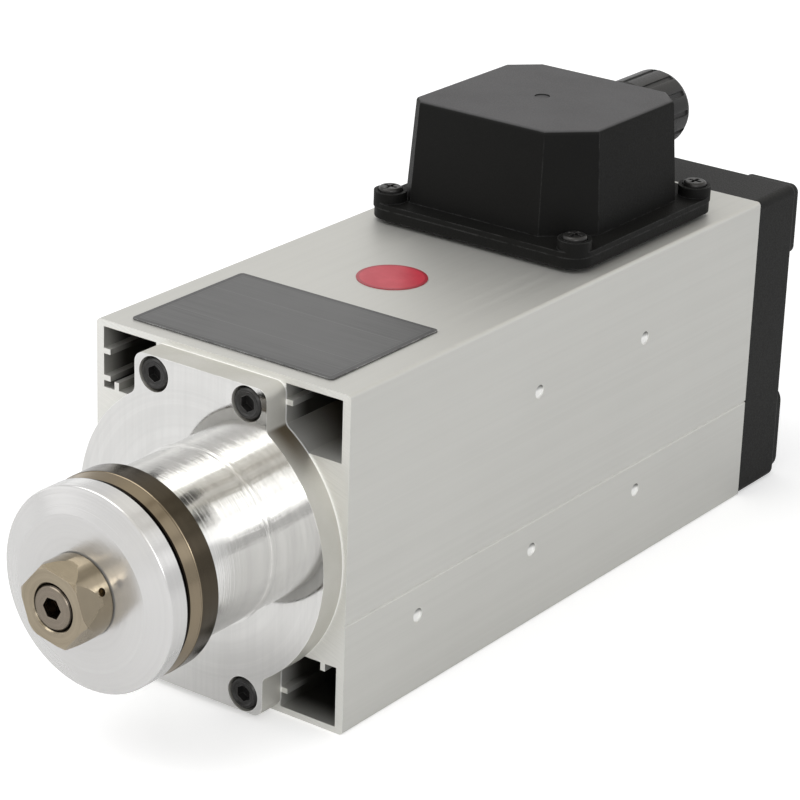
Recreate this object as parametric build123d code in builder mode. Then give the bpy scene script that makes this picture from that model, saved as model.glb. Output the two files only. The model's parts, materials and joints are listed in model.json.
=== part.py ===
from build123d import *
from dataclasses import dataclass
from math import atan2, degrees, hypot, radians, sqrt, tan
import os

os.makedirs("parts", exist_ok=True)

# Air-cooled motor spindle for a small saw blade, in millimetres. The spindle turns about Y and its
# nose points to -Y. The origin is on the spindle axis at the blade seat of the inner clamp flange.
# +X is to the right seen from the nose and +Z is up. A station is a place along Y; stations grow
# from the nose towards the fan.

# Fits, all radial or per side
running_fit = 0.05
seat_fit = 0.03
thread_fit = 0.05
flange_bore_fit = 0.08
labyrinth_gap = 0.6
air_gap = 0.4

# Extruded housing, sized around its stator bore
bore_radius = 37.5
bore_side_wall = 3.5
bore_deck_wall = 9.0
housing_length = 196.0
housing_corner = 1.2
bore_wall = 2.2
side_wall = 2.4
deck_wall = 1.8
duct_web = 21.0
duct_drop = 18.5
duct_rib_length = 2.2
duct_rib_thickness = 1.5
side_rib_steps = (2.6, 10.0)
web_rib_drop = 6.7
floor_rib_inset = 6.7
scribe_depth = 0.25
scribe_height = -15.8
dimple_radius = 1.9
dimple_depth = 0.6
dimple_first = 31.3
dimple_spacing = 52.3
upper_dimple_height = 22.0
lower_dimple_height = -24.2
lower_dimple_count = 3
lead_hole_radius = 6.0
tapped_run_out = 2.0

# Foot pattern under the housing
foot_hole_radius = 2.5
foot_hole_depth = 8.0
foot_spacing_x = 30.0
foot_spacing_y = 120.0

# Front end bell
nose_reach = 42.7
plate_thickness = 8.0
plate_half_width = 21.3
plate_inset = 1.5
plate_corner = 3.0
plate_round_inset = 1.0
plate_junction = 2.5
boss_radius = 23.8
boss_length = 23.2
boss_fillet = 1.8
boss_chamfer = 0.5
lip_length = 4.2
spigot_depth = 6.0
spigot_wall = 4.5

# Socket screws of both end bells
bell_screw_x = 15.0
bell_screw_drop = 6.5
bell_screw_radius = 2.5
bell_head_radius = 4.25
bell_head_height = 5.0
bell_socket_flats = 4.0
bell_socket_depth = 2.5
bell_screw_grip = 12.0
bell_head_chamfer = 0.4
counterbore_radius = 4.8
screw_hole_clearance = 0.25

# Rear end bell
preload_thickness = 1.6
rear_plate_thickness = 6.0
rear_plate_half_width = 20.0
rear_plate_clearance = 1.0
rear_plate_round_inset = 1.8
rear_hub_wall = 4.0
rear_bore_floor = 3.0
lug_inset_x = 8.4
lug_inset_z = 16.5
lug_radius = 4.4
arm_width = 7.0

# Stator and rotor
core_length = 90.0
core_setback = 52.0
slot_count = 24
slot_width = 4.2
slot_depth = 9.0
slot_mouth = 2.0
slot_lip = 1.0
rotor_radius = 22.0
cage_bar_count = 16
cage_bar_radius = 1.6
cage_bar_inset = 3.2
cage_ring_width = 8.0
cage_ring_depth = 8.0
winding_reach = 18.0
winding_thickness = 7.5
winding_round = 3.0
winding_liner = 0.25

# Spindle shaft
thread_radius = 5.9
thread_relief = 0.8
thread_relief_length = 2.0
nose_journal_radius = 7.5
shaft_shoulder_radius = 10.5
rotor_seat_radius = 11.0
fan_seat_radius = 6.0
shaft_end_proud = 0.2
shaft_end_chamfer = 0.6
shaft_socket_flats = 5.0
shaft_socket_depth = 8.0

# Blade clamp
flange_radius = 27.0
inner_flange_thickness = 10.5
inner_flange_taper = 3.8
inner_flange_taper_drop = 1.1
inner_flange_chamfer = 0.5
flange_relief_radius = 20.5
flange_relief_depth = 0.4
pilot_radius = 11.0
pilot_length = 1.5
register_radius = 9.5
register_length = 4.3
register_chamfer = 0.4
register_floor_gap = 0.4
journal_setback = 1.0
inner_hub_radius = 11.5
outer_flange_thickness = 8.4
outer_rim_thickness = 5.8
outer_rim_chamfer = 0.3
outer_face_radius = 20.5
nut_length = 10.0
nut_flats = 18.2
nut_round_radius = 10.9
nut_collar_length = 3.7
nut_corner_angle = -11.0
nut_face_radius = 9.9
nut_bore_chamfer = 0.7
nut_face_slope = 30.0
nut_pin_radius = 1.1
nut_pin_depth = 2.2
nut_pin_angle = 26.0
nut_pin_inset = 3.1
key_width = 4.0
key_height = 4.0
key_length = 7.0

# Fan and its cover
cover_depth = 21.5
cover_wall = 2.0
cover_corner = 2.5
cover_edge = 2.0
pad_width = 18.0
upper_pad_height = 21.5
lower_pad_height = 28.0
pad_inset = 0.5
pad_corner = 5.0
pad_proud = 1.5
grille_radii = (7.0, 13.0, 19.0, 25.0)
grille_slot = 3.4
grille_spokes = 6
grille_spoke_width = 3.0
cover_screw_radius = 2.0
cover_screw_grip = 5.0
cover_head_radius = 3.5
cover_head_height = 2.8
cover_head_sink = 0.4
cross_length = 4.1
cross_width = 0.9
cross_depth = 1.3
cover_boss_radius = 4.2
fan_radius = 33.0
fan_hub_radius = 10.5
fan_disc_thickness = 2.0
fan_depth = 8.0
fan_blade_count = 9
fan_blade_thickness = 1.8
fan_blade_lean = 25.0
fan_gap = 1.5
fan_land = 0.8
fan_root = 2.0

# Retaining rings
clip_thickness = 1.6
clip_bite = 1.2
clip_reach = 2.4
clip_opening = 40.0

# Terminal box
box_setback = 143.5
gasket_thickness = 1.2
gasket_inset = 3.0
base_width = 72.0
base_depth = 72.0
base_corner = 6.5
base_thickness = 3.0
lid_flange_thickness = 1.6
lid_foot_width = 60.5
lid_foot_depth = 59.5
lid_cut_front_left = 5.0
lid_cut_front_right = 12.0
lid_cut_rear_left = 9.0
lid_cut_rear_right = 7.5
lid_height = 30.8
lid_draft = 4.0
lid_wall = 2.2
lid_top_round = 1.2
lid_boss_radius = 4.7
lid_boss_height = 2.9
lid_screw_x = 31.0
lid_screw_y = 31.0
lid_screw_radius = 1.9
lid_head_radius = 3.4
lid_head_height = 2.2
base_screw_radius = 1.9
base_screw_x = 11.5
base_screw_gap = 1.25
base_screw_grip = 4.0
base_head_radius = 3.3
base_head_height = 2.0
terminal_width = 34.0
terminal_depth = 14.0
terminal_height = 11.0
terminal_rib = 1.6
terminal_posts = 3
post_radius = 2.0
post_height = 9.0
post_nut_flats = 7.0
post_nut_height = 3.2

# Cable gland on the back of the lid
gland_x = 2.0
gland_rise = 16.1
gland_thread_radius = 9.0
gland_flange_flats = 22.0
gland_flange_length = 5.5
gland_nut_radius = 11.3
gland_nut_length = 21.5
gland_nut_dome = 3.0
gland_nut_ribs = 12
gland_rib_groove = 1.1
gland_rib_offset = 0.5
gland_mouth_radius = 6.0
gland_seal_radius = 7.2
gland_seal_bore = 4.5
gland_seal_length = 10.0
gland_pad_radius = 12.4
gland_pad_proud = 1.0

# Plates stuck on the top deck
name_plate_width = 65.0
name_plate_length = 45.0
name_plate_thickness = 0.5
name_plate_setback = 4.7
name_plate_shift = -1.0
sticker_radius = 9.7
sticker_thickness = 0.25
sticker_setback = 74.0
sticker_shift = -1.6


@dataclass(frozen=True)
class BearingSize:
    """Deep-groove ball bearing: bore, outside and width, with its balls."""

    bore: float
    outside: float
    width: float
    ball_radius: float
    ball_count: int

    @property
    def pitch(self):
        """Radius of the circle through the ball centres."""
        return (self.bore + self.outside) / 4


front_size = BearingSize(bore=17.0, outside=40.0, width=12.0, ball_radius=3.35, ball_count=8)
rear_size = BearingSize(bore=15.0, outside=35.0, width=11.0, ball_radius=2.95, ball_count=8)
ball_gap = 0.12
land_share = 0.45
cage_thickness = 1.6
cage_width = 3.6

# Heights, offsets and stations worked out from the sizes above
half_width = bore_radius + bore_side_wall
deck = bore_radius + bore_deck_wall
housing_width = 2 * half_width
housing_height = 2 * deck
duct_side = half_width - side_wall
duct_roof = deck - deck_wall
duct_floor = deck - duct_drop
side_rib_heights = [duct_floor + step for step in side_rib_steps]
web_rib_height = deck - web_rib_drop
floor_rib_offset = half_width - floor_rib_inset
plate_half_height = deck - plate_inset
plate_round = half_width - plate_round_inset
bell_screw_z = deck - bell_screw_drop
rear_plate_half_height = deck - cover_wall - rear_plate_clearance
rear_plate_round = half_width - cover_wall - rear_plate_round_inset
lug_x = half_width - lug_inset_x
lug_z = deck - lug_inset_z
housing_front = nose_reach
housing_rear = housing_front + housing_length
plate_front = housing_front - plate_thickness
boss_front = plate_front - boss_length
front_bearing_front = boss_front + lip_length
front_bearing_rear = front_bearing_front + front_size.width
core_front = housing_front + core_setback
core_rear = core_front + core_length
rear_plate_rear = housing_rear + rear_plate_thickness
rear_floor = rear_plate_rear - rear_bore_floor
rear_bearing_rear = rear_floor - preload_thickness
rear_bearing_front = rear_bearing_rear - rear_size.width
cover_rear = housing_rear + cover_depth
fan_front = rear_plate_rear + fan_gap
fan_rear = fan_front + fan_depth
shaft_rear = fan_rear + clip_thickness + fan_land
outer_flange_rear = -pilot_length
outer_flange_front = outer_flange_rear - outer_flange_thickness
nut_front = outer_flange_front - nut_length
shaft_front = nut_front - shaft_end_proud
journal_front = outer_flange_rear - register_length + journal_setback
stack_radius = bore_radius - seat_fit
stator_bore = rotor_radius + air_gap
box_y = housing_front + box_setback
base_bottom = deck + gasket_thickness
base_top = base_bottom + base_thickness
base_screw_y = lid_foot_depth / 2 - lid_wall - base_head_radius - base_screw_gap
lid_bottom = base_top
gland_z = lid_bottom + gland_rise


def station(y):
    """Cross-section plane at a station, seen from the nose: local x is X, local y is Z."""
    return Plane.XZ.offset(-y)


def turned(*points):
    """Half section of a turned part from (station, radius) points, for a sketch on Plane.YZ."""
    Polygon(*points, align=None)


def ring_section(front, rear, inner, outer):
    """Half section of a plain ring between two stations."""
    turned((front, inner), (rear, inner), (rear, outer), (front, outer))


def hexagon(flats, angle=0.0, mode=Mode.ADD):
    """Hexagon across its flats with its first corner at an angle."""
    RegularPolygon(flats / 2, 6, major_radius=False, rotation=angle, mode=mode)


def save(part, name):
    """Label a finished piece and write its file."""
    part.part.label = name
    export_step(part.part, f"parts/{name}.step")


# Extruded housing: stator bore, four corner air ducts with ribs, tapped ends and foot holes.
# The left ducts carry two side ribs and a floor rib each, the lower right one a floor rib alone.
with BuildSketch() as ducts:
    with Locations((duct_web, duct_floor)):
        Rectangle(duct_side - duct_web, duct_roof - duct_floor, align=(Align.MIN, Align.MIN))
    Circle(bore_radius + bore_wall, mode=Mode.SUBTRACT)
    with Locations((duct_web, web_rib_height)):
        Rectangle(duct_rib_length, duct_rib_thickness, align=(Align.MIN, Align.CENTER), mode=Mode.SUBTRACT)
    mirror(about=Plane.YZ)
    mirror(about=Plane.XZ)
    with Locations(*[(-duct_side, level * height) for height in side_rib_heights for level in (-1, 1)]):
        Rectangle(duct_rib_length, duct_rib_thickness, align=(Align.MIN, Align.CENTER), mode=Mode.SUBTRACT)
    with Locations((-floor_rib_offset, duct_floor)):
        Rectangle(duct_rib_thickness, duct_rib_length, align=(Align.CENTER, Align.MIN), mode=Mode.SUBTRACT)
    with GridLocations(2 * floor_rib_offset, 1, 2, 1):
        with Locations((0, -duct_floor)):
            Rectangle(
                duct_rib_thickness, duct_rib_length, align=(Align.CENTER, Align.MAX), mode=Mode.SUBTRACT,
            )

with BuildPart() as housing:
    with BuildSketch(station(housing_rear)):
        RectangleRounded(housing_width, housing_height, housing_corner)
        Circle(bore_radius, mode=Mode.SUBTRACT)
        add(ducts.sketch, mode=Mode.SUBTRACT)
        with Locations((half_width, scribe_height), (-half_width, scribe_height)):
            Rectangle(2 * scribe_depth, 2 * scribe_depth, rotation=45, mode=Mode.SUBTRACT)
    extrude(amount=housing_length)
    for end in (station(housing_front), -station(housing_rear)):
        with Locations(end):
            with GridLocations(2 * bell_screw_x, 2 * bell_screw_z, 2, 2):
                Hole(bell_screw_radius + thread_fit, depth=bell_screw_grip + tapped_run_out)
    with Locations(-Plane.XY.offset(-deck)):
        with Locations((0, -(housing_front + housing_length / 2))):
            with GridLocations(foot_spacing_x, foot_spacing_y, 2, 2):
                Hole(foot_hole_radius, depth=foot_hole_depth)
    with Locations(Plane.XY.offset(deck)):
        with Locations((0, core_rear + winding_reach / 2)):
            Hole(lead_hole_radius, depth=2 * (deck - bore_radius))
        with Locations(*[(side * base_screw_x, box_y + along * base_screw_y)
                         for side in (-1, 1) for along in (-1, 1)]):
            Hole(base_screw_radius + thread_fit, depth=base_screw_grip + tapped_run_out / 2)
    lower_dimples = [(housing_front + dimple_first + number * dimple_spacing, lower_dimple_height)
                     for number in range(lower_dimple_count)]
    upper_dimples = [(along, upper_dimple_height) for along, height in lower_dimples[1:]]
    for side in (-1, 1):
        with BuildSketch(Plane.YZ.offset(side * half_width)):
            with Locations(*lower_dimples, *upper_dimples):
                Circle(dimple_radius)
        extrude(amount=-side * dimple_depth, mode=Mode.SUBTRACT)
save(housing, "housing")

# Front end bell: flat plate with open corners, filleted nose boss and spigot
with BuildPart() as front_bell:
    with BuildSketch(station(housing_front)) as plate_outline:
        RectangleRounded(2 * plate_half_width, 2 * plate_half_height, plate_corner)
        Circle(plate_round)
        junctions = plate_outline.vertices().filter_by(
            lambda corner: abs(abs(corner.X) - plate_half_width) < 0.01 and abs(corner.Y) < plate_round
        )
        fillet(junctions, plate_junction)
    extrude(amount=plate_thickness)
    with BuildSketch(station(plate_front)):
        Circle(boss_radius)
    extrude(amount=boss_length)
    boss_root = front_bell.edges().filter_by(GeomType.CIRCLE).filter_by(
        lambda edge: abs(edge.radius - boss_radius) < 0.01 and abs(edge.center().Y - plate_front) < 0.01
    )
    fillet(boss_root, boss_fillet)
    boss_rim = front_bell.edges().filter_by(GeomType.CIRCLE).sort_by(Axis.Y)[0]
    chamfer(boss_rim, boss_chamfer)
    with BuildSketch(Plane.YZ):
        ring_section(housing_front - 1, housing_front + spigot_depth, 0, stack_radius)
    revolve(axis=Axis.Y)
    clip_front = front_bearing_rear + seat_fit
    pocket_radius = front_size.outside / 2 + seat_fit
    mouth_radius = stack_radius - spigot_wall
    with BuildSketch(Plane.YZ):
        turned(
            (boss_front - 1, 0),
            (boss_front - 1, inner_hub_radius + labyrinth_gap),
            (front_bearing_front, inner_hub_radius + labyrinth_gap),
            (front_bearing_front, pocket_radius),
            (clip_front, pocket_radius),
            (clip_front, pocket_radius + clip_bite),
            (clip_front + clip_thickness + seat_fit, pocket_radius + clip_bite),
            (clip_front + clip_thickness + seat_fit, pocket_radius),
            (plate_front, pocket_radius),
            (housing_front, mouth_radius),
            (housing_front + spigot_depth + 1, mouth_radius),
            (housing_front + spigot_depth + 1, 0),
        )
    revolve(axis=Axis.Y, mode=Mode.SUBTRACT)
    with Locations(station(plate_front)):
        with GridLocations(2 * bell_screw_x, 2 * bell_screw_z, 2, 2):
            CounterBoreHole(
                bell_screw_radius + screw_hole_clearance,
                counterbore_radius,
                bell_head_height,
            )
save(front_bell, "front_end_bell")

# Rear end bell: plate with four screw lugs, bearing hub and spigot
with BuildPart() as rear_bell:
    with BuildSketch(station(rear_plate_rear)):
        RectangleRounded(2 * rear_plate_half_width, 2 * rear_plate_half_height, plate_corner)
        Circle(rear_plate_round)
        lug_angle = degrees(atan2(lug_z, lug_x))
        for turn in (lug_angle, 180 - lug_angle, 180 + lug_angle, -lug_angle):
            with PolarLocations(hypot(lug_x, lug_z) / 2, 1, start_angle=turn):
                Rectangle(hypot(lug_x, lug_z), arm_width)
        with GridLocations(2 * lug_x, 2 * lug_z, 2, 2):
            Circle(lug_radius)
    extrude(amount=rear_plate_thickness)
    rear_pocket_radius = rear_size.outside / 2 + seat_fit
    with BuildSketch(Plane.YZ):
        ring_section(rear_bearing_front - 1, housing_rear + 1, 0, rear_pocket_radius + rear_hub_wall)
        ring_section(housing_rear - spigot_depth, housing_rear + 1, mouth_radius, stack_radius)
    revolve(axis=Axis.Y)
    with BuildSketch(Plane.YZ):
        turned(
            (rear_bearing_front - 2, 0),
            (rear_bearing_front - 2, rear_pocket_radius),
            (rear_floor, rear_pocket_radius),
            (rear_floor, rear_size.bore / 2 + labyrinth_gap),
            (rear_plate_rear + 1, rear_size.bore / 2 + labyrinth_gap),
            (rear_plate_rear + 1, 0),
        )
    revolve(axis=Axis.Y, mode=Mode.SUBTRACT)
    with Locations(-station(rear_plate_rear)):
        with GridLocations(2 * bell_screw_x, 2 * bell_screw_z, 2, 2):
            Hole(bell_screw_radius + screw_hole_clearance)
        with GridLocations(2 * lug_x, 2 * lug_z, 2, 2):
            Hole(cover_screw_radius + thread_fit)
save(rear_bell, "rear_end_bell")


# Socket screws of the front bell, heads flush in their counterbores
with BuildPart() as front_screws:
    head_seat = plate_front + bell_head_height
    with BuildSketch(station(head_seat)):
        with GridLocations(2 * bell_screw_x, 2 * bell_screw_z, 2, 2):
            Circle(bell_head_radius)
    extrude(amount=bell_head_height)
    with BuildSketch(station(housing_front + bell_screw_grip)):
        with GridLocations(2 * bell_screw_x, 2 * bell_screw_z, 2, 2):
            Circle(bell_screw_radius)
    extrude(amount=housing_front + bell_screw_grip - head_seat)
    with BuildSketch(station(plate_front + bell_socket_depth)):
        with GridLocations(2 * bell_screw_x, 2 * bell_screw_z, 2, 2):
            hexagon(bell_socket_flats)
    extrude(amount=bell_socket_depth, mode=Mode.SUBTRACT)
    chamfer(front_screws.edges().filter_by(GeomType.CIRCLE).group_by(Axis.Y)[0], bell_head_chamfer)
save(front_screws, "front_bell_screws")

# Socket screws of the rear bell, heads on its plate
with BuildPart() as rear_screws:
    with BuildSketch(station(rear_plate_rear + bell_head_height)):
        with GridLocations(2 * bell_screw_x, 2 * bell_screw_z, 2, 2):
            Circle(bell_head_radius)
    extrude(amount=bell_head_height)
    with BuildSketch(station(rear_plate_rear)):
        with GridLocations(2 * bell_screw_x, 2 * bell_screw_z, 2, 2):
            Circle(bell_screw_radius)
    extrude(amount=rear_plate_thickness + bell_screw_grip)
    with BuildSketch(station(rear_plate_rear + bell_head_height)):
        with GridLocations(2 * bell_screw_x, 2 * bell_screw_z, 2, 2):
            hexagon(bell_socket_flats)
    extrude(amount=bell_socket_depth, mode=Mode.SUBTRACT)
save(rear_screws, "rear_bell_screws")


# Stator: slotted core, and the winding that fills its slots and bulges at both ends
with BuildPart() as stator_core:
    with BuildSketch(station(core_rear)):
        Circle(stack_radius)
        Circle(stator_bore, mode=Mode.SUBTRACT)
        slot_start = stator_bore + slot_lip
        with PolarLocations(slot_start + slot_depth / 2, slot_count):
            Rectangle(slot_depth, slot_width, mode=Mode.SUBTRACT)
        with PolarLocations(stator_bore, slot_count):
            Rectangle(3 * slot_lip, slot_mouth, mode=Mode.SUBTRACT)
    extrude(amount=core_length)
save(stator_core, "stator_core")

with BuildPart() as winding:
    with BuildSketch(station(core_rear)):
        with PolarLocations(slot_start + slot_depth / 2, slot_count):
            Rectangle(slot_depth - 2 * winding_liner, slot_width - 2 * winding_liner)
    extrude(amount=core_length)
    winding_inner = slot_start + winding_liner
    for near, far in ((core_front - winding_liner, core_front - winding_reach),
                      (core_rear + winding_liner, core_rear + winding_reach)):
        with BuildSketch(Plane.YZ) as bundle:
            ring_section(near, far, winding_inner, winding_inner + slot_depth)
            fillet(bundle.vertices(), winding_round)
        revolve(axis=Axis.Y)
    with BuildSketch(station(core_rear + winding_round)):
        with PolarLocations(slot_start + slot_depth / 2, slot_count):
            Rectangle(slot_depth - 2 * winding_round, slot_width - 2 * winding_liner)
    extrude(amount=core_length + 2 * winding_round)
save(winding, "stator_winding")

# Rotor: core with its cast cage of bars and end rings
with BuildPart() as rotor_core:
    with BuildSketch(station(core_rear)):
        Circle(rotor_radius)
        Circle(rotor_seat_radius + seat_fit, mode=Mode.SUBTRACT)
        with PolarLocations(rotor_radius - cage_bar_inset, cage_bar_count):
            Circle(cage_bar_radius, mode=Mode.SUBTRACT)
    extrude(amount=core_length)
save(rotor_core, "rotor_core")

with BuildPart() as rotor_cage:
    with BuildSketch(station(core_rear + 1)):
        with PolarLocations(rotor_radius - cage_bar_inset, cage_bar_count):
            Circle(cage_bar_radius - seat_fit)
    extrude(amount=core_length + 2)
    for near, far in ((core_front, core_front - cage_ring_width), (core_rear, core_rear + cage_ring_width)):
        with BuildSketch(Plane.YZ):
            ring_section(near, far, rotor_radius - cage_ring_depth, rotor_radius - running_fit)
        revolve(axis=Axis.Y)
save(rotor_cage, "rotor_cage")

# Spindle shaft: threaded nose, keyed journal, bearing and rotor seats, fan seat
front_seat_radius = front_size.bore / 2
rear_seat_radius = rear_size.bore / 2
with BuildPart() as shaft:
    with BuildSketch(Plane.YZ):
        turned(
            (shaft_front, 0),
            (shaft_front, thread_radius - shaft_end_chamfer),
            (shaft_front + shaft_end_chamfer, thread_radius),
            (journal_front - thread_relief_length, thread_radius),
            (journal_front - thread_relief_length + thread_relief, thread_radius - thread_relief),
            (journal_front, thread_radius - thread_relief),
            (journal_front, nose_journal_radius),
            (front_bearing_front, nose_journal_radius),
            (front_bearing_front, front_seat_radius),
            (front_bearing_rear, front_seat_radius),
            (front_bearing_rear, shaft_shoulder_radius),
            (core_front, shaft_shoulder_radius),
            (core_front, rotor_seat_radius),
            (core_rear, rotor_seat_radius),
            (core_rear, shaft_shoulder_radius),
            (rear_bearing_front, shaft_shoulder_radius),
            (rear_bearing_front, rear_seat_radius),
            (rear_bearing_rear + 1, rear_seat_radius),
            (rear_bearing_rear + 1, fan_seat_radius),
            (fan_rear, fan_seat_radius),
            (fan_rear, fan_seat_radius - clip_bite),
            (fan_rear + clip_thickness, fan_seat_radius - clip_bite),
            (fan_rear + clip_thickness, fan_seat_radius),
            (shaft_rear, fan_seat_radius),
            (shaft_rear, 0),
        )
    revolve(axis=Axis.Y)
    with BuildSketch(station(shaft_front + shaft_socket_depth)):
        hexagon(shaft_socket_flats)
    extrude(amount=shaft_socket_depth, mode=Mode.SUBTRACT)
    key_front = front_bearing_front - key_length - lip_length
    with BuildSketch(Plane.XY.offset(nose_journal_radius - key_height / 2)):
        with Locations((0, key_front)):
            Rectangle(key_width, key_length, align=(Align.CENTER, Align.MIN))
    extrude(amount=key_height, mode=Mode.SUBTRACT)
save(shaft, "spindle_shaft")

with BuildPart() as flange_key:
    with BuildSketch(Plane.XY.offset(nose_journal_radius - key_height / 2)):
        with Locations((0, key_front + seat_fit)):
            Rectangle(key_width - 2 * seat_fit, key_length - 2 * seat_fit, align=(Align.CENTER, Align.MIN))
    extrude(amount=key_height)
save(flange_key, "flange_key")


def ball_bearing(size, front, name):
    """Outer ring, inner ring and the balls in their cage, as three pieces."""
    inner = size.bore / 2 + seat_fit
    outer = size.outside / 2
    land = size.ball_radius * land_share
    middle = front + size.width / 2
    groove = size.ball_radius + ball_gap
    with BuildPart() as outer_ring:
        with BuildSketch(Plane.YZ):
            ring_section(front, front + size.width, size.pitch + land, outer)
            with Locations((middle, size.pitch)):
                Circle(groove, mode=Mode.SUBTRACT)
        revolve(axis=Axis.Y)
    save(outer_ring, f"{name}_bearing_outer_ring")
    with BuildPart() as inner_ring:
        with BuildSketch(Plane.YZ):
            ring_section(front, front + size.width, inner, size.pitch - land)
            with Locations((middle, size.pitch)):
                Circle(groove, mode=Mode.SUBTRACT)
        revolve(axis=Axis.Y)
    save(inner_ring, f"{name}_bearing_inner_ring")
    with BuildPart() as balls:
        with BuildSketch(Plane.YZ):
            ring_section(
                middle - cage_width / 2,
                middle + cage_width / 2,
                size.pitch - cage_thickness / 2,
                size.pitch + cage_thickness / 2,
            )
        revolve(axis=Axis.Y)
        with Locations(station(middle)):
            with PolarLocations(size.pitch, size.ball_count):
                Sphere(size.ball_radius)
    save(balls, f"{name}_bearing_balls")


ball_bearing(front_size, front_bearing_front, "front")
ball_bearing(rear_size, rear_bearing_front, "rear")


def open_ring(inner, outer):
    """Outline of a retaining ring with a gap between its two ends."""
    reach = 2 * outer
    spread = reach * tan(radians(clip_opening / 2))
    Circle(outer)
    Circle(inner, mode=Mode.SUBTRACT)
    Polygon((0, 0), (reach, spread), (reach, -spread), align=None, mode=Mode.SUBTRACT)


with BuildPart() as bearing_clip:
    with BuildSketch(station(clip_front + clip_thickness)):
        open_ring(pocket_radius - clip_reach, pocket_radius + clip_bite - seat_fit)
    extrude(amount=clip_thickness)
save(bearing_clip, "bearing_retaining_ring")

with BuildPart() as fan_clip:
    with BuildSketch(station(fan_rear + clip_thickness)):
        open_ring(fan_seat_radius - clip_bite + seat_fit, fan_seat_radius + clip_reach)
    extrude(amount=clip_thickness)
save(fan_clip, "fan_retaining_ring")

# Preload ring between the rear bearing and its pocket floor
with BuildPart() as preload_ring:
    with BuildSketch(Plane.YZ):
        ring_section(
            rear_bearing_rear,
            rear_floor,
            rear_size.pitch + rear_size.ball_radius * land_share,
            rear_size.outside / 2 - seat_fit,
        )
    revolve(axis=Axis.Y)
save(preload_ring, "bearing_preload_ring")

# Inner clamp flange: seat, short blade pilot, register for the outer flange, hub against the bearing
with BuildPart() as inner_flange:
    seat_radius = flange_radius - inner_flange_taper_drop
    register_front = outer_flange_rear - register_length
    with BuildSketch(Plane.YZ):
        turned(
            (register_front, nose_journal_radius + seat_fit),
            (register_front, register_radius - register_chamfer),
            (register_front + register_chamfer, register_radius),
            (outer_flange_rear, register_radius),
            (outer_flange_rear, pilot_radius),
            (0, pilot_radius),
            (flange_relief_depth, pilot_radius),
            (flange_relief_depth, flange_relief_radius),
            (0, flange_relief_radius + flange_relief_depth),
            (0, seat_radius),
            (inner_flange_taper, flange_radius),
            (inner_flange_thickness - inner_flange_chamfer, flange_radius),
            (inner_flange_thickness, flange_radius - inner_flange_chamfer),
            (inner_flange_thickness, inner_hub_radius),
            (front_bearing_front, inner_hub_radius),
            (front_bearing_front, nose_journal_radius + seat_fit),
        )
    revolve(axis=Axis.Y)
    with BuildSketch(Plane.XY.offset(nose_journal_radius - key_height / 2)):
        with Locations((0, front_bearing_front)):
            Rectangle(key_width, key_length + lip_length, align=(Align.CENTER, Align.MAX))
    extrude(amount=key_height + seat_fit, mode=Mode.SUBTRACT)
save(inner_flange, "inner_clamp_flange")

# Outer clamp flange: flat clamping rim, raised flat centre and a gentle cone between them
with BuildPart() as outer_flange:
    rim_front = outer_flange_rear - outer_rim_thickness
    register_floor = register_front - register_floor_gap
    with BuildSketch(Plane.YZ):
        turned(
            (outer_flange_rear, flange_radius),
            (rim_front + outer_rim_chamfer, flange_radius),
            (rim_front, flange_radius - outer_rim_chamfer),
            (outer_flange_front, outer_face_radius),
            (outer_flange_front, thread_radius + flange_bore_fit),
            (register_floor, thread_radius + flange_bore_fit),
            (register_floor, register_radius + running_fit),
            (outer_flange_rear, register_radius + running_fit),
            (outer_flange_rear, pilot_radius),
            (outer_flange_rear - flange_relief_depth, pilot_radius + flange_relief_depth),
            (outer_flange_rear - flange_relief_depth, flange_relief_radius),
            (outer_flange_rear, flange_relief_radius + flange_relief_depth),
        )
    revolve(axis=Axis.Y)
save(outer_flange, "outer_clamp_flange")

# Clamp nut: round collar, six milled flats, chamfered face and a pin hole
with BuildPart() as clamp_nut:
    with BuildSketch(Plane.YZ):
        face_rise = (nut_round_radius - nut_face_radius) * tan(radians(nut_face_slope))
        turned(
            (outer_flange_front, thread_radius + thread_fit),
            (outer_flange_front, nut_round_radius),
            (nut_front + face_rise, nut_round_radius),
            (nut_front, nut_face_radius),
            (nut_front, thread_radius + thread_fit + nut_bore_chamfer),
            (nut_front + nut_bore_chamfer, thread_radius + thread_fit),
        )
    revolve(axis=Axis.Y)
    with BuildSketch(station(outer_flange_front - nut_collar_length)):
        Circle(nut_round_radius + 1)
        hexagon(nut_flats, nut_corner_angle, mode=Mode.SUBTRACT)
    extrude(amount=nut_length, mode=Mode.SUBTRACT)
    pin_plane = Plane.YZ.rotated((0, -nut_pin_angle, 0)).offset(nut_round_radius)
    with Locations(pin_plane):
        with Locations((outer_flange_front - nut_pin_inset, 0)):
            Hole(nut_pin_radius, depth=nut_pin_depth)
save(clamp_nut, "clamp_nut")

# Fan: hub, backing disc and leaning blades
with BuildPart() as fan:
    with BuildSketch(station(fan_front + fan_disc_thickness)):
        Circle(fan_radius)
    extrude(amount=fan_disc_thickness)
    with BuildSketch(station(fan_rear)):
        Circle(fan_hub_radius)
        blade_length = fan_radius - fan_hub_radius + fan_root
        with PolarLocations(0, fan_blade_count):
            with Locations(Location((fan_hub_radius - fan_root, 0, 0), (0, 0, fan_blade_lean))):
                Rectangle(blade_length, fan_blade_thickness, align=(Align.MIN, Align.CENTER))
    extrude(amount=fan_depth)
    with BuildSketch(station(fan_rear)):
        Circle(2 * fan_radius)
        Circle(fan_radius, mode=Mode.SUBTRACT)
    extrude(amount=fan_depth, mode=Mode.SUBTRACT)
    with BuildSketch(station(fan_rear)):
        Circle(fan_seat_radius + seat_fit)
    extrude(amount=fan_depth, mode=Mode.SUBTRACT)
save(fan, "cooling_fan")

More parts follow.
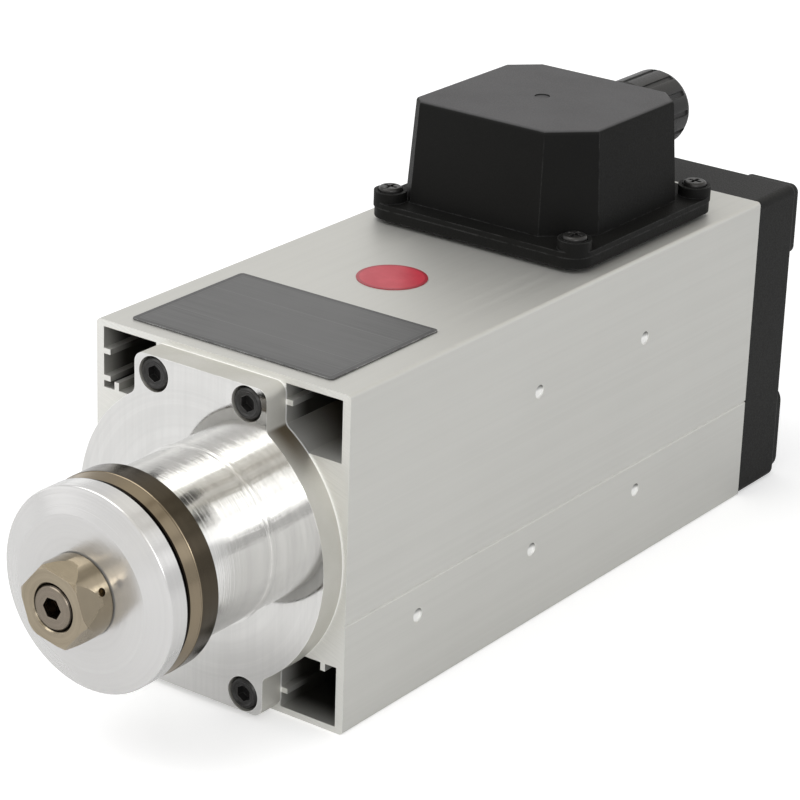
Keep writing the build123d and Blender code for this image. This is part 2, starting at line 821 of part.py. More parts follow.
# Fan cover: moulded cap with ring grille, corner pads and inner screw bosses
with BuildPart() as fan_cover:
    with BuildSketch(station(cover_rear)):
        RectangleRounded(housing_width, housing_height, cover_corner)
    extrude(amount=cover_depth)
    fillet(fan_cover.faces().sort_by(Axis.Y)[-1].edges(), cover_edge)
    with BuildSketch(station(cover_rear + pad_proud)):
        for side in (-1, 1):
            pad_x = side * (half_width - pad_inset - pad_width / 2)
            with Locations((pad_x, deck - pad_inset - upper_pad_height / 2)):
                RectangleRounded(pad_width, upper_pad_height, cover_corner)
            with Locations((pad_x, lower_pad_height / 2 + pad_inset - deck)):
                RectangleRounded(pad_width, lower_pad_height, pad_corner)
    extrude(amount=pad_proud + cover_edge)
    with BuildSketch(station(cover_rear - cover_wall)):
        RectangleRounded(housing_width - 2 * cover_wall, housing_height - 2 * cover_wall, cover_corner / 2)
    extrude(amount=cover_depth, mode=Mode.SUBTRACT)
    with BuildSketch(station(cover_rear - cover_wall)):
        with GridLocations(2 * lug_x, 2 * lug_z, 2, 2):
            Circle(cover_boss_radius)
    extrude(amount=cover_rear - cover_wall - rear_plate_rear)
    with BuildSketch(station(cover_rear)):
        for inner in grille_radii:
            with BuildSketch(mode=Mode.PRIVATE) as ring_slot:
                Circle(inner + grille_slot)
                Circle(inner, mode=Mode.SUBTRACT)
                with PolarLocations(0, grille_spokes):
                    Rectangle(
                        2 * fan_radius, grille_spoke_width, align=(Align.MIN, Align.CENTER),
                        mode=Mode.SUBTRACT,
                    )
            add(ring_slot.sketch)
    extrude(amount=cover_wall, mode=Mode.SUBTRACT)
    with Locations(-station(cover_rear + pad_proud)):
        with GridLocations(2 * lug_x, 2 * lug_z, 2, 2):
            CounterBoreHole(
                cover_screw_radius + screw_hole_clearance,
                cover_head_radius + screw_hole_clearance,
                cover_head_height + cover_head_sink,
            )
save(fan_cover, "fan_cover")

with BuildPart() as cover_screws:
    cover_head_seat = cover_rear + pad_proud - cover_head_height - cover_head_sink
    with BuildSketch(station(cover_head_seat + cover_head_height)):
        with GridLocations(2 * lug_x, 2 * lug_z, 2, 2):
            Circle(cover_head_radius)
    extrude(amount=cover_head_height)
    with BuildSketch(station(cover_head_seat)):
        with GridLocations(2 * lug_x, 2 * lug_z, 2, 2):
            Circle(cover_screw_radius)
    extrude(amount=cover_head_seat - rear_plate_rear + cover_screw_grip)
    with BuildSketch(station(cover_head_seat + cover_head_height)):
        with GridLocations(2 * lug_x, 2 * lug_z, 2, 2):
            Rectangle(cross_length, cross_width)
            Rectangle(cross_width, cross_length)
    extrude(amount=cross_depth, mode=Mode.SUBTRACT)
save(cover_screws, "fan_cover_screws")

# Terminal box: gasket, base plate and the drafted lid with its corner screws
box_plane = Plane.XY.move(Location((0, box_y, 0)))
with BuildPart() as box_gasket:
    with BuildSketch(box_plane.offset(deck)):
        RectangleRounded(
            base_width - 2 * gasket_inset, base_depth - 2 * gasket_inset, base_corner - gasket_inset,
        )
        with GridLocations(2 * base_screw_x, 2 * base_screw_y, 2, 2):
            Circle(base_screw_radius + screw_hole_clearance, mode=Mode.SUBTRACT)
        with Locations((0, core_rear + winding_reach / 2 - box_y)):
            Circle(lead_hole_radius, mode=Mode.SUBTRACT)
    extrude(amount=gasket_thickness)
save(box_gasket, "box_gasket")

with BuildPart() as box_base:
    with BuildSketch(box_plane.offset(base_bottom)):
        RectangleRounded(base_width, base_depth, base_corner)
        with GridLocations(2 * base_screw_x, 2 * base_screw_y, 2, 2):
            Circle(base_screw_radius + screw_hole_clearance, mode=Mode.SUBTRACT)
        with GridLocations(2 * lid_screw_x, 2 * lid_screw_y, 2, 2):
            Circle(lid_screw_radius + thread_fit, mode=Mode.SUBTRACT)
        with Locations((0, core_rear + winding_reach / 2 - box_y)):
            Circle(lead_hole_radius, mode=Mode.SUBTRACT)
    extrude(amount=base_thickness)
save(box_base, "terminal_box_base")

with BuildPart() as base_screws:
    with BuildSketch(box_plane.offset(base_top)):
        with GridLocations(2 * base_screw_x, 2 * base_screw_y, 2, 2):
            Circle(base_head_radius)
    extrude(amount=base_head_height)
    with BuildSketch(box_plane.offset(base_top)):
        with GridLocations(2 * base_screw_x, 2 * base_screw_y, 2, 2):
            Circle(base_screw_radius)
    extrude(amount=-(base_top - deck + base_screw_grip))
save(base_screws, "box_base_screws")

lid_cuts = (lid_cut_front_left, lid_cut_rear_left, lid_cut_front_right, lid_cut_rear_right)
cut_shortening = lid_wall * (2 - sqrt(2))


def cut_corners(plan, cuts):
    """Cut the corners of a rectangle, from front left and rear left to front right and rear right."""
    corners = plan.vertices().sort_by(lambda corner: (round(corner.X), corner.Y))
    for corner, cut in zip(corners, cuts):
        chamfer(corner, cut)


with BuildPart() as box_lid:
    with BuildSketch(box_plane.offset(lid_bottom)) as foot:
        Rectangle(lid_foot_width, lid_foot_depth)
        cut_corners(foot, lid_cuts)
    extrude(amount=lid_height, taper=lid_draft)
    fillet(box_lid.faces().sort_by(Axis.Z)[-1].edges(), lid_top_round)
    pad_face = box_y + lid_foot_depth / 2 + gland_pad_proud
    with BuildSketch(station(pad_face)):
        with Locations((gland_x, gland_z)):
            Circle(gland_pad_radius)
    extrude(amount=gland_pad_proud + lid_height * tan(radians(lid_draft)) + lid_wall)
    with BuildSketch(box_plane.offset(lid_bottom)):
        RectangleRounded(base_width, base_depth, base_corner)
    extrude(amount=lid_flange_thickness)
    with BuildSketch(box_plane.offset(lid_bottom)):
        with GridLocations(2 * lid_screw_x, 2 * lid_screw_y, 2, 2):
            Circle(lid_boss_radius)
    extrude(amount=lid_flange_thickness + lid_boss_height)
    with BuildSketch(box_plane.offset(lid_bottom)) as hollow:
        Rectangle(lid_foot_width - 2 * lid_wall, lid_foot_depth - 2 * lid_wall)
        cut_corners(hollow, [cut - cut_shortening for cut in lid_cuts])
    extrude(amount=lid_height - lid_wall, taper=lid_draft, mode=Mode.SUBTRACT)
    with BuildSketch(station(pad_face)):
        with Locations((gland_x, gland_z)):
            Circle(gland_thread_radius + seat_fit)
    extrude(amount=3 * lid_wall + gland_pad_proud, mode=Mode.SUBTRACT)
    with Locations(box_plane.offset(lid_bottom + lid_flange_thickness + lid_boss_height)):
        with GridLocations(2 * lid_screw_x, 2 * lid_screw_y, 2, 2):
            CounterBoreHole(
                lid_screw_radius + screw_hole_clearance,
                lid_head_radius + screw_hole_clearance,
                lid_head_height / 2,
            )
save(box_lid, "terminal_box_lid")

with BuildPart() as lid_screws:
    lid_head_seat = lid_bottom + lid_flange_thickness + lid_boss_height - lid_head_height / 2
    with BuildSketch(box_plane.offset(lid_head_seat)):
        with GridLocations(2 * lid_screw_x, 2 * lid_screw_y, 2, 2):
            Circle(lid_head_radius)
    extrude(amount=lid_head_height)
    with BuildSketch(box_plane.offset(lid_head_seat)):
        with GridLocations(2 * lid_screw_x, 2 * lid_screw_y, 2, 2):
            Circle(lid_screw_radius)
    extrude(amount=-(lid_head_seat - base_bottom))
    with BuildSketch(box_plane.offset(lid_head_seat + lid_head_height)):
        with GridLocations(2 * lid_screw_x, 2 * lid_screw_y, 2, 2):
            Rectangle(cross_length, cross_width)
            Rectangle(cross_width, cross_length)
    extrude(amount=-cross_depth, mode=Mode.SUBTRACT)
save(lid_screws, "lid_screws")

# Terminal block with barriers, and its three studs with nuts
with BuildPart() as terminal_block:
    with BuildSketch(box_plane.offset(base_top)):
        Rectangle(terminal_width, terminal_depth)
    extrude(amount=terminal_height - terminal_rib)
    pitch = terminal_width / terminal_posts
    with BuildSketch(box_plane.offset(base_top)):
        with GridLocations(pitch, 1, terminal_posts + 1, 1):
            Rectangle(terminal_rib, terminal_depth)
    extrude(amount=terminal_height + terminal_rib)
    with Locations(box_plane.offset(base_top + terminal_height - terminal_rib)):
        with GridLocations(pitch, 1, terminal_posts, 1):
            Hole(post_radius + seat_fit, depth=terminal_height / 2)
save(terminal_block, "terminal_block")

with BuildPart() as terminal_posts_part:
    post_seat = base_top + terminal_height - terminal_rib
    with BuildSketch(box_plane.offset(post_seat - terminal_height / 2)):
        with GridLocations(pitch, 1, terminal_posts, 1):
            Circle(post_radius)
    extrude(amount=terminal_height / 2 + post_height)
    with BuildSketch(box_plane.offset(post_seat)):
        with GridLocations(pitch, 1, terminal_posts, 1):
            hexagon(post_nut_flats)
    extrude(amount=post_nut_height)
save(terminal_posts_part, "terminal_studs")

# Cable gland: flanged body through the lid wall, rubber insert and ribbed dome nut
gland_axis = Axis((gland_x, 0, gland_z), (0, 1, 0))
gland_half_plane = Plane(origin=(gland_x, 0, gland_z), x_dir=(0, 1, 0), z_dir=(1, 0, 0))
flange_rear = pad_face + gland_flange_length
gland_rear = flange_rear + gland_nut_length
with BuildPart() as gland_body:
    with BuildSketch(station(flange_rear)):
        with Locations((gland_x, gland_z)):
            hexagon(gland_flange_flats)
    extrude(amount=gland_flange_length)
    with BuildSketch(gland_half_plane):
        ring_section(pad_face - 2 * lid_wall, flange_rear + gland_nut_length / 2, 0, gland_thread_radius)
    revolve(axis=gland_axis)
    with BuildSketch(gland_half_plane):
        ring_section(pad_face - 3 * lid_wall, gland_rear, 0, gland_seal_radius + seat_fit)
    revolve(axis=gland_axis, mode=Mode.SUBTRACT)
save(gland_body, "gland_body")

with BuildPart() as gland_seal:
    with BuildSketch(gland_half_plane):
        ring_section(
            gland_rear - gland_nut_dome / 2 - gland_seal_length,
            gland_rear - gland_nut_dome / 2,
            gland_seal_bore,
            gland_seal_radius,
        )
    revolve(axis=gland_axis)
save(gland_seal, "gland_seal")

with BuildPart() as gland_nut:
    with BuildSketch(gland_half_plane) as dome:
        turned(
            (flange_rear, gland_thread_radius + seat_fit),
            (flange_rear, gland_nut_radius),
            (gland_rear - gland_nut_dome, gland_nut_radius),
            (gland_rear, gland_nut_radius - gland_nut_dome),
            (gland_rear, gland_mouth_radius),
            (gland_rear - gland_nut_dome / 2, gland_mouth_radius),
            (gland_rear - gland_nut_dome / 2, gland_seal_radius + seat_fit),
            (flange_rear + gland_nut_length / 2 + seat_fit, gland_seal_radius + seat_fit),
            (flange_rear + gland_nut_length / 2 + seat_fit, gland_thread_radius + seat_fit),
        )
    revolve(axis=gland_axis)
    with BuildSketch(station(gland_rear)):
        with Locations((gland_x, gland_z)):
            with PolarLocations(gland_nut_radius + gland_rib_offset, gland_nut_ribs):
                Circle(gland_rib_groove)
    extrude(amount=gland_nut_length - 1, mode=Mode.SUBTRACT)
save(gland_nut, "gland_nut")

# Bare name plate and round sticker on the top deck
with BuildPart() as name_plate:
    with BuildSketch(Plane.XY.offset(deck)):
        with Locations((name_plate_shift, housing_front + name_plate_setback)):
            Rectangle(name_plate_width, name_plate_length, align=(Align.CENTER, Align.MIN))
    extrude(amount=name_plate_thickness)
save(name_plate, "name_plate")

with BuildPart() as sticker:
    with BuildSketch(Plane.XY.offset(deck)):
        with Locations((sticker_shift, housing_front + sticker_setback)):
            Circle(sticker_radius)
    extrude(amount=sticker_thickness)
save(sticker, "round_sticker")
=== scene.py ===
import json
import logging
import math
from dataclasses import dataclass
from enum import Enum
from functools import cache, cached_property
from typing import Callable, Mapping, Sequence

import bpy
from mathutils import Matrix, Vector


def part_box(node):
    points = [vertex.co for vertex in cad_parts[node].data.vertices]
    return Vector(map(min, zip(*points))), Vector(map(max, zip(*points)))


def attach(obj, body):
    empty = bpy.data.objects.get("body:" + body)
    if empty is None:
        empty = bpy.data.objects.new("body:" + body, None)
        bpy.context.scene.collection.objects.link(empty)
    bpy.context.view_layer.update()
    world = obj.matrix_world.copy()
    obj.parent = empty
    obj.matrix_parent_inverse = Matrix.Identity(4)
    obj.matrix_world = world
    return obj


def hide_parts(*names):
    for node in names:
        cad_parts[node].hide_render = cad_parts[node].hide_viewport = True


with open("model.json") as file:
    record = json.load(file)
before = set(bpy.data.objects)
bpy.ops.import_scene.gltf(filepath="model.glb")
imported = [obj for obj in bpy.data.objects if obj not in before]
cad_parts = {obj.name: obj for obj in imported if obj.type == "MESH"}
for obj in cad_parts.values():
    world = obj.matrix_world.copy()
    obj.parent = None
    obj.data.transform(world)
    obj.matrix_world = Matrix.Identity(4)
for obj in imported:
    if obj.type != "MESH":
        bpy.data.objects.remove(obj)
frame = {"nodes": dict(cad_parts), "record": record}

log = logging.getLogger("spindle")
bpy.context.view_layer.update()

Pair = tuple[float, float]
Triple = tuple[float, float, float]
Colour = Triple
Piece = bpy.types.Object
Socket = bpy.types.NodeSocket
MM = 0.001
FADE = 0.2
AXIS_Y = (0.0, 1.0, 0.0)


class Slot(Enum):
    """Material slots of the record."""

    EXTRUDED = "extruded_aluminium"
    MACHINED = "machined_aluminium"
    CAST = "cast_aluminium"
    BLACK_STEEL = "black_steel"
    ZINC = "zinc_steel"
    CORE = "core_steel"
    COPPER = "winding_copper"
    GROUND = "ground_steel"
    BEARING = "bearing_steel"
    BRONZED = "bronzed_steel"
    POLISHED = "polished_steel"
    NUT = "nut_steel"
    FAN = "fan_plastic"
    COVER = "cover_plastic"
    BOX = "box_plastic"
    GLAND = "gland_plastic"
    BLOCK = "block_plastic"
    BRASS = "stud_brass"
    RUBBER = "black_rubber"
    PLATE = "plate_metal"
    STICKER = "sticker_film"


class Body(Enum):
    """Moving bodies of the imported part."""

    STATOR = "stator"
    ROTOR = "rotor"
    FLANGE = "outer_flange"
    NUT = "clamp_nut"


class Value:
    """Output of a node; arithmetic on it adds Math nodes."""

    def __init__(self, graph: "Graph", socket: Socket) -> None:
        """Keep the graph and the output socket."""
        self.graph, self.socket = graph, socket

    def __add__(self, other: object) -> "Value":
        """Add a number or value."""
        return self.graph.maths("ADD", self, other)

    def __sub__(self, other: object) -> "Value":
        """Take away a number or value."""
        return self.graph.maths("SUBTRACT", self, other)

    def __mul__(self, other: object) -> "Value":
        """Multiply by a number or value."""
        return self.graph.maths("MULTIPLY", self, other)

    def __truediv__(self, other: object) -> "Value":
        """Divide by a number or value."""
        return self.graph.maths("DIVIDE", self, other)

    def __gt__(self, other: object) -> "Value":
        """Give 1 where this is the greater."""
        return self.graph.maths("GREATER_THAN", self, other)

    def __lt__(self, other: object) -> "Value":
        """Give 1 where this is the lesser."""
        return self.graph.maths("LESS_THAN", self, other)

    def __abs__(self) -> "Value":
        """Drop the sign."""
        return self.graph.maths("ABSOLUTE", self)

    def within(self, low: float, high: float) -> "Value":
        """Give 1 between two limits, in millimetres."""
        return (self > low * MM) * (self < high * MM)


class Graph:
    """Short calls that add and join nodes in one node tree."""

    def __init__(self, tree: bpy.types.NodeTree) -> None:
        """Keep the tree of a material, world or group."""
        self.tree = tree

    def node(self, kind: str, **settings: object) -> bpy.types.Node:
        """Add a node and set its properties.

        Args:
            kind: Blender's node type name, without "ShaderNode".
            **settings: Properties to set on the node.

        Returns:
            The new node.
        """
        made = self.tree.nodes.new(kind if kind.startswith("Node") else "ShaderNode" + kind)
        for name, value in settings.items():
            setattr(made, name, value)
        return made

    def feed(self, socket: Socket, value: object) -> None:
        """Link an input to a value, or set it to a plain number or sequence.

        Args:
            socket: Input to feed.
            value: What feeds it.
        """
        if isinstance(value, Value):
            self.tree.links.new(value.socket, socket)
        elif socket.type == "RGBA":
            socket.default_value = (*value, 1.0)
        else:
            socket.default_value = value

    def add(self, kind: str, inputs: Mapping[int | str, object], output: int | str = 0,
            **settings: object) -> Value:
        """Add a node, feed its inputs and give one of its outputs.

        Args:
            kind: Blender's node type name, without "ShaderNode".
            inputs: What feeds each input, by its number or name.
            output: Number or name of the output.
            **settings: Properties to set on the node.

        Returns:
            The output.
        """
        made = self.node(kind, **settings)
        for key, value in inputs.items():
            self.feed(made.inputs[key], value)
        return Value(self, made.outputs[output])

    def outputs(self, node: bpy.types.Node) -> dict[str, Value]:
        """Give a node's outputs by name."""
        return {socket.name: Value(self, socket) for socket in node.outputs}

    @cached_property
    def coordinates(self) -> dict[str, Value]:
        """Texture coordinates, added when first asked for."""
        return self.outputs(self.node("TexCoord"))

    @cached_property
    def place(self) -> Value:
        """Place in object space."""
        return self.coordinates["Object"]

    @cached_property
    def spot(self) -> tuple[Value, Value, Value]:
        """X, Y and Z of the place."""
        return self.parts(self.place)

    @cached_property
    def facing(self) -> tuple[Value, Value, Value]:
        """X, Y and Z of the normal in object space."""
        return self.parts(self.coordinates["Normal"])

    @cached_property
    def radius(self) -> Value:
        """Distance from the spindle axis."""
        return self.vector("LENGTH", self.joined(self.spot[0], 0.0, self.spot[2]))

    def maths(self, kind: str, *values: object) -> Value:
        """Add a Math node."""
        return self.add("Math", dict(enumerate(values)), operation=kind)

    def vector(self, kind: str, *values: object) -> Value:
        """Add a Vector Math node, which gives a number for a length or dot product."""
        output = "Value" if kind in ("LENGTH", "DOT_PRODUCT") else 0
        return self.add("VectorMath", dict(enumerate(values)), output, operation=kind)

    def scaled(self, value: object, factor: object) -> Value:
        """Scale a vector or colour by a number."""
        return self.add("VectorMath", {0: value, "Scale": factor}, operation="SCALE")

    def spread(self, value: Value, low: float, high: float, start: float = 0.0, end: float = 1.0) -> Value:
        """Map a value smoothly from low to high onto start to end."""
        inputs = {"Value": value, "From Min": low, "From Max": high, "To Min": start, "To Max": end}
        return self.add("MapRange", inputs, "Result", interpolation_type="SMOOTHSTEP")

    def noise(self, vector: Value, scale: object, detail: float = 2.0, rough: float = 0.5) -> Value:
        """Add noise from 0 to 1, with a scale of features per metre."""
        inputs = {"Vector": vector, "Scale": scale, "Detail": detail, "Roughness": rough}
        return self.add("TexNoise", inputs, "Fac")

    def blend(self, factor: object, first: object, second: object) -> Value:
        """Mix two colours by the share of the second."""
        return self.add("Mix", {0: factor, 6: first, 7: second}, 2, data_type="RGBA")

    def mixed(self, factor: object, first: object, second: object) -> Value:
        """Mix two numbers by the share of the second."""
        return self.add("Mix", {0: factor, 2: first, 3: second}, 0, data_type="FLOAT")

    def bump(self, height: Value, strength: float, distance: float) -> Value:
        """Tilt the normal by a height; the distance is in metres."""
        return self.add("Bump", {"Strength": strength, "Distance": distance, "Height": height})

    def parts(self, vector: Value) -> tuple[Value, Value, Value]:
        """Split a vector into X, Y and Z."""
        made = self.node("SeparateXYZ")
        self.feed(made.inputs[0], vector)
        return tuple(self.outputs(made).values())

    def joined(self, x: object, y: object, z: object) -> Value:
        """Make a vector of three numbers."""
        return self.add("CombineXYZ", {0: x, 1: y, 2: z})


Values = dict[str, Value]
Inputs = dict[str, object]


class Effect(Enum):
    """Shared surface effects, each one a node group."""

    TURNED = "turned_rings"
    DRAWN = "drawn_lines"
    GRAIN = "fine_grain"
    BLOTCHES = "soft_blotches"
    WEAR = "edge_wear"
    DUST = "settled_dust"
    SAWN = "sawn_end"


class EffectLibrary:
    """Builds each shared effect once and places it in materials."""

    lean: float = 4.0
    wear_samples: int = 4

    def __init__(self) -> None:
        """List each effect's maker and inputs; no group is made yet."""
        self.makers: dict[Effect, tuple[Callable[[Graph, Values], Values], dict[str, float]]] = {
            Effect.TURNED: (self.turned, {"Spread": 0.1, "Rings": 9000.0}),
            Effect.DRAWN: (self.drawn, {"Spread": 0.1, "Lines": 7000.0}),
            Effect.GRAIN: (self.grain, {"Scale": 3000.0, "Contrast": 0.5}),
            Effect.BLOTCHES: (self.blotches, {"Scale": 30.0}),
            Effect.WEAR: (self.wear, {"Radius": 0.0004, "Scale": 400.0}),
            Effect.DUST: (self.dust, {"Scale": 60.0, "Amount": 1.0}),
            Effect.SAWN: (self.sawn, {"Lines": 4000.0}),
        }
        self.groups: dict[Effect, bpy.types.NodeTree] = {}

    def group(self, effect: Effect) -> bpy.types.NodeTree:
        """Give the node group of an effect, building it the first time.

        Args:
            effect: The effect wanted.

        Returns:
            Its node group.
        """
        if effect not in self.groups:
            tree = bpy.data.node_groups.new(effect.value, "ShaderNodeTree")
            maker, inputs = self.makers[effect]
            for name, value in inputs.items():
                made = tree.interface.new_socket(name, in_out="INPUT", socket_type="NodeSocketFloat")
                made.default_value = value
            graph = Graph(tree)
            results = maker(graph, graph.outputs(graph.node("NodeGroupInput")))
            output = graph.node("NodeGroupOutput")
            for name, value in results.items():
                kind = "NodeSocketVector" if name == "Normal" else "NodeSocketFloat"
                tree.interface.new_socket(name, in_out="OUTPUT", socket_type=kind)
                graph.feed(output.inputs[name], value)
            self.groups[effect] = tree
        return self.groups[effect]

    def place(self, graph: Graph, effect: Effect, **values: float) -> Values:
        """Put an effect into a material.

        Args:
            graph: Graph of the material.
            effect: The effect.
            **values: Its inputs.

        Returns:
            Its outputs.
        """
        made = graph.node("Group", node_tree=self.group(effect))
        for name, value in values.items():
            made.inputs[name].default_value = value
        return graph.outputs(made)

    def cloud(self, graph: Graph, scale: float) -> Value:
        """Put soft blotches into a material; the scale counts them per metre."""
        return self.place(graph, Effect.BLOTCHES, Scale=scale)["Value"]

    def edge(self, graph: Graph, radius: float, scale: float) -> Value:
        """Put edge wear into a material, as wide as the radius in millimetres."""
        return self.place(graph, Effect.WEAR, Radius=radius * MM, Scale=scale)["Mask"]

    def lined(self, graph: Graph, across: Value, place: Value, count: Value, spread: Value,
              share: float) -> Values:
        """Lines that lean the normal and so stretch highlights across them.

        Args:
            graph: Graph of the group.
            across: Unit direction on the surface, across the lines.
            place: Coordinates that change only across the lines.
            count: Lines per metre.
            spread: How far the normal leans.
            share: Broad lines for each fine one.

        Returns:
            The leaning world normal and the broad lines.
        """
        broad = graph.noise(place, count * share, 3.0, 0.7)
        amount = (graph.noise(place, count, 1.0) - 0.5) * spread * self.lean
        leaning = graph.vector("ADD", graph.coordinates["Normal"], graph.scaled(across, amount))
        normal = graph.add("VectorTransform", {0: graph.vector("NORMALIZE", leaning)}, vector_type="NORMAL",
                           convert_from="OBJECT", convert_to="WORLD")
        return {"Normal": normal, "Broad": broad}

    def turned(self, graph: Graph, given: Values) -> Values:
        """Lathe rings around the spindle axis.

        Args:
            graph: Graph of the group.
            given: Its inputs.

        Returns:
            The leaning normal and broad rings.
        """
        x, y, z = graph.spot
        place = graph.joined(graph.radius, y, graph.noise(graph.place, 90.0, 1.0) * 0.00002)
        around = graph.vector("NORMALIZE", graph.joined(z * -1.0, 0.0, x))
        along = graph.vector("CROSS_PRODUCT", graph.coordinates["Normal"], around)
        return self.lined(graph, along, place, given["Rings"], given["Spread"], 0.09)

    def drawn(self, graph: Graph, given: Values) -> Values:
        """Die lines along the length of a drawn section.

        Args:
            graph: Graph of the group.
            given: Its inputs.

        Returns:
            The leaning normal and broad bands.
        """
        x, y, z = graph.spot
        place = graph.joined(x, y * 0.0025, z)
        across = graph.vector("NORMALIZE", graph.vector("CROSS_PRODUCT", graph.coordinates["Normal"], AXIS_Y))
        return self.lined(graph, across, place, given["Lines"], given["Spread"], 0.12)

    def grain(self, graph: Graph, given: Values) -> Values:
        """Fine pebbled grain of moulded or cast surfaces.

        Args:
            graph: Graph of the group.
            given: Its inputs.

        Returns:
            Height and a speckle value.
        """
        cells = graph.add("TexVoronoi", {"Vector": graph.place, "Scale": given["Scale"]}, "Distance",
                          feature="SMOOTH_F1")
        height = cells * given["Contrast"] + graph.noise(graph.place, given["Scale"] * 0.4)
        speckle = graph.spread(graph.noise(graph.place, given["Scale"], 1.0), 0.3, 0.7)
        return {"Height": height, "Speckle": speckle}

    def blotches(self, graph: Graph, given: Values) -> Values:
        """Broad soft unevenness of tone, as a value around one half."""
        return {"Value": graph.noise(graph.place, given["Scale"], 4.0, 0.6)}

    def wear(self, graph: Graph, given: Values) -> Values:
        """Bright rubbed edges, broken by noise.

        Args:
            graph: Graph of the group.
            given: Its inputs.

        Returns:
            A mask that is 1 on a worn edge.
        """
        rounded = graph.add("Bevel", {"Radius": given["Radius"]}, samples=self.wear_samples)
        agree = graph.vector("DOT_PRODUCT", rounded, graph.add("NewGeometry", {}, "Normal"))
        patches = graph.noise(graph.place, given["Scale"], 3.0, 0.6)
        return {"Mask": graph.spread(agree, 0.995, 0.88) * graph.spread(patches, 0.3, 0.62)}

    def dust(self, graph: Graph, given: Values) -> Values:
        """Thin dust and a painted sheen on faces that look up, as a mask that is 1 where they are most."""
        drift = graph.spread(graph.noise(graph.place, given["Scale"], 4.0, 0.65), 0.0, 0.75, 0.75, 1.0)
        return {"Mask": graph.spread(graph.facing[2], 0.55, 0.98) * drift * given["Amount"]}

    def sawn(self, graph: Graph, given: Values) -> Values:
        """Saw strokes, and a mask of the cut ends of the drawn section that show them."""
        slope = graph.joined(graph.spot[2] + graph.spot[0] * 0.35, graph.spot[0] * 0.03, 0.0)
        return {"Mask": graph.spread(abs(graph.facing[1]), 0.6, 0.9),
                "Strokes": graph.noise(slope, given["Lines"], 3.0, 0.7)}


effects = EffectLibrary()


@dataclass(frozen=True)
class Finish:
    """A surface finish, with the values that every kind shares."""

    name: str
    colour: Colour
    roughness: float = 0.4
    metallic: float = 0.0
    specular: float = 0.5

    def material(self) -> bpy.types.Material:
        """Build the finish as a material.

        Returns:
            The new material.
        """
        made = bpy.data.materials.new(self.name)
        made.use_nodes = True
        graph = Graph(made.node_tree)
        inputs = {"Metallic": self.metallic, "Specular IOR Level": self.specular, **self.dress(graph)}
        for name, value in inputs.items():
            graph.feed(made.node_tree.nodes["Principled BSDF"].inputs[name], value)
        return made

    def dress(self, graph: Graph) -> Inputs:
        """Give what feeds each input of the shader; each kind of finish has its own."""
        raise NotImplementedError

    def shade(self, factor: float) -> Colour:
        """Give the finish's colour made lighter or darker."""
        red, green, blue = self.colour
        return (red * factor, green * factor, blue * factor)

    def toned(self, graph: Graph, colour: object, value: Value, factor: float, low: float = 0.3,
              high: float = 0.7, share: float = 1.0) -> Value:
        """Turn a colour by a share towards a shade of the finish's own, where a value is high."""
        return graph.blend(graph.spread(value, low, high, 0.0, share), colour, self.shade(factor))

    def rough(self, graph: Graph, value: Value, low: float, high: float, smooth: float, dull: float) -> Value:
        """Vary the roughness with a value, between two shares of the finish's own."""
        return graph.spread(value, low, high, self.roughness * smooth, self.roughness * dull)


@dataclass(frozen=True)
class TurnedMetal(Finish):
    """Metal turned on a lathe around the spindle axis."""

    metallic: float = 1.0
    spread: float = 0.08
    rings: float = 9000.0
    patches: float = 0.25
    wear: float = 0.5
    # Painted shade behind a station: the nut's rear edge at its seam, and a painted dark reflection on the
    # inner flange's cylinder.
    rear_shade_tone: float = 1.0
    rear_shade_from: float = 3.9
    # Painted shade in the gap between the flanges, with some dark oil residue: a band of stations beyond a
    # radius goes dark.
    seam: Pair = (-1.6, 0.55)
    seam_shade_and_oil_tone: float = 1.0
    seam_shade_and_oil_reach: float = 24.9
    # Painted shade in a band of radii: the gap between the shaft end and the nut's bore, and inside the bore.
    ring: Pair = (0.0, 0.0)
    ring_shade_tone: float = 0.25
    bare_back: float = 1000.0
    back_colour: Colour = (0.85, 0.845, 0.83)
    back_metallic: float = 0.15
    back_roughness: float = 0.6

    def dress(self, graph: Graph) -> Inputs:
        """Rings lean the normal, blotches and rubbed edges change the tone, and painted shade darkens the
        rear, a ring and the seams, where oil residue adds to it.

        Args:
            graph: Graph of the material.

        Returns:
            What feeds each input of the shader.
        """
        rings = effects.place(graph, Effect.TURNED, Spread=self.spread, Rings=self.rings)
        along, reach = graph.spot[1], graph.radius
        broad = graph.spread(rings["Broad"], 0.3, 0.7) * self.patches
        tone = graph.blend(broad, self.colour, self.shade(0.72))
        mottled = self.toned(graph, tone, effects.cloud(graph, 45.0), 1.16, 0.25, 0.75, self.patches)
        rubbed = graph.blend(effects.edge(graph, 0.35, 500.0) * self.wear, mottled, self.shade(1.3))
        # Painted shade and painted dark reflection: the rear, the seam gap (with oil residue) and the ring
        # darken the colour.
        rear = graph.spread(along, self.rear_shade_from * MM, (self.rear_shade_from + FADE) * MM, 1.0, self.rear_shade_tone)
        seam = along.within(*self.seam) * (reach > self.seam_shade_and_oil_reach * MM)
        ring = reach.within(*self.ring)
        level = (rear * graph.spread(seam, 0.0, 1.0, 1.0, self.seam_shade_and_oil_tone)
                 * graph.spread(ring, 0.0, 1.0, 1.0, self.ring_shade_tone))
        back = graph.spread(graph.facing[1], 0.7, 0.95) * (along > self.bare_back * MM)
        uneven = self.rough(graph, rings["Broad"], 0.25, 0.75, 0.75, 1.3)
        return {
            "Base Color": graph.blend(back, graph.scaled(rubbed, level), self.back_colour),
            "Metallic": graph.spread(back, 0.0, 1.0, self.metallic, self.back_metallic),
            "Roughness": graph.mixed(back, uneven, self.back_roughness),
            "Normal": rings["Normal"],
        }


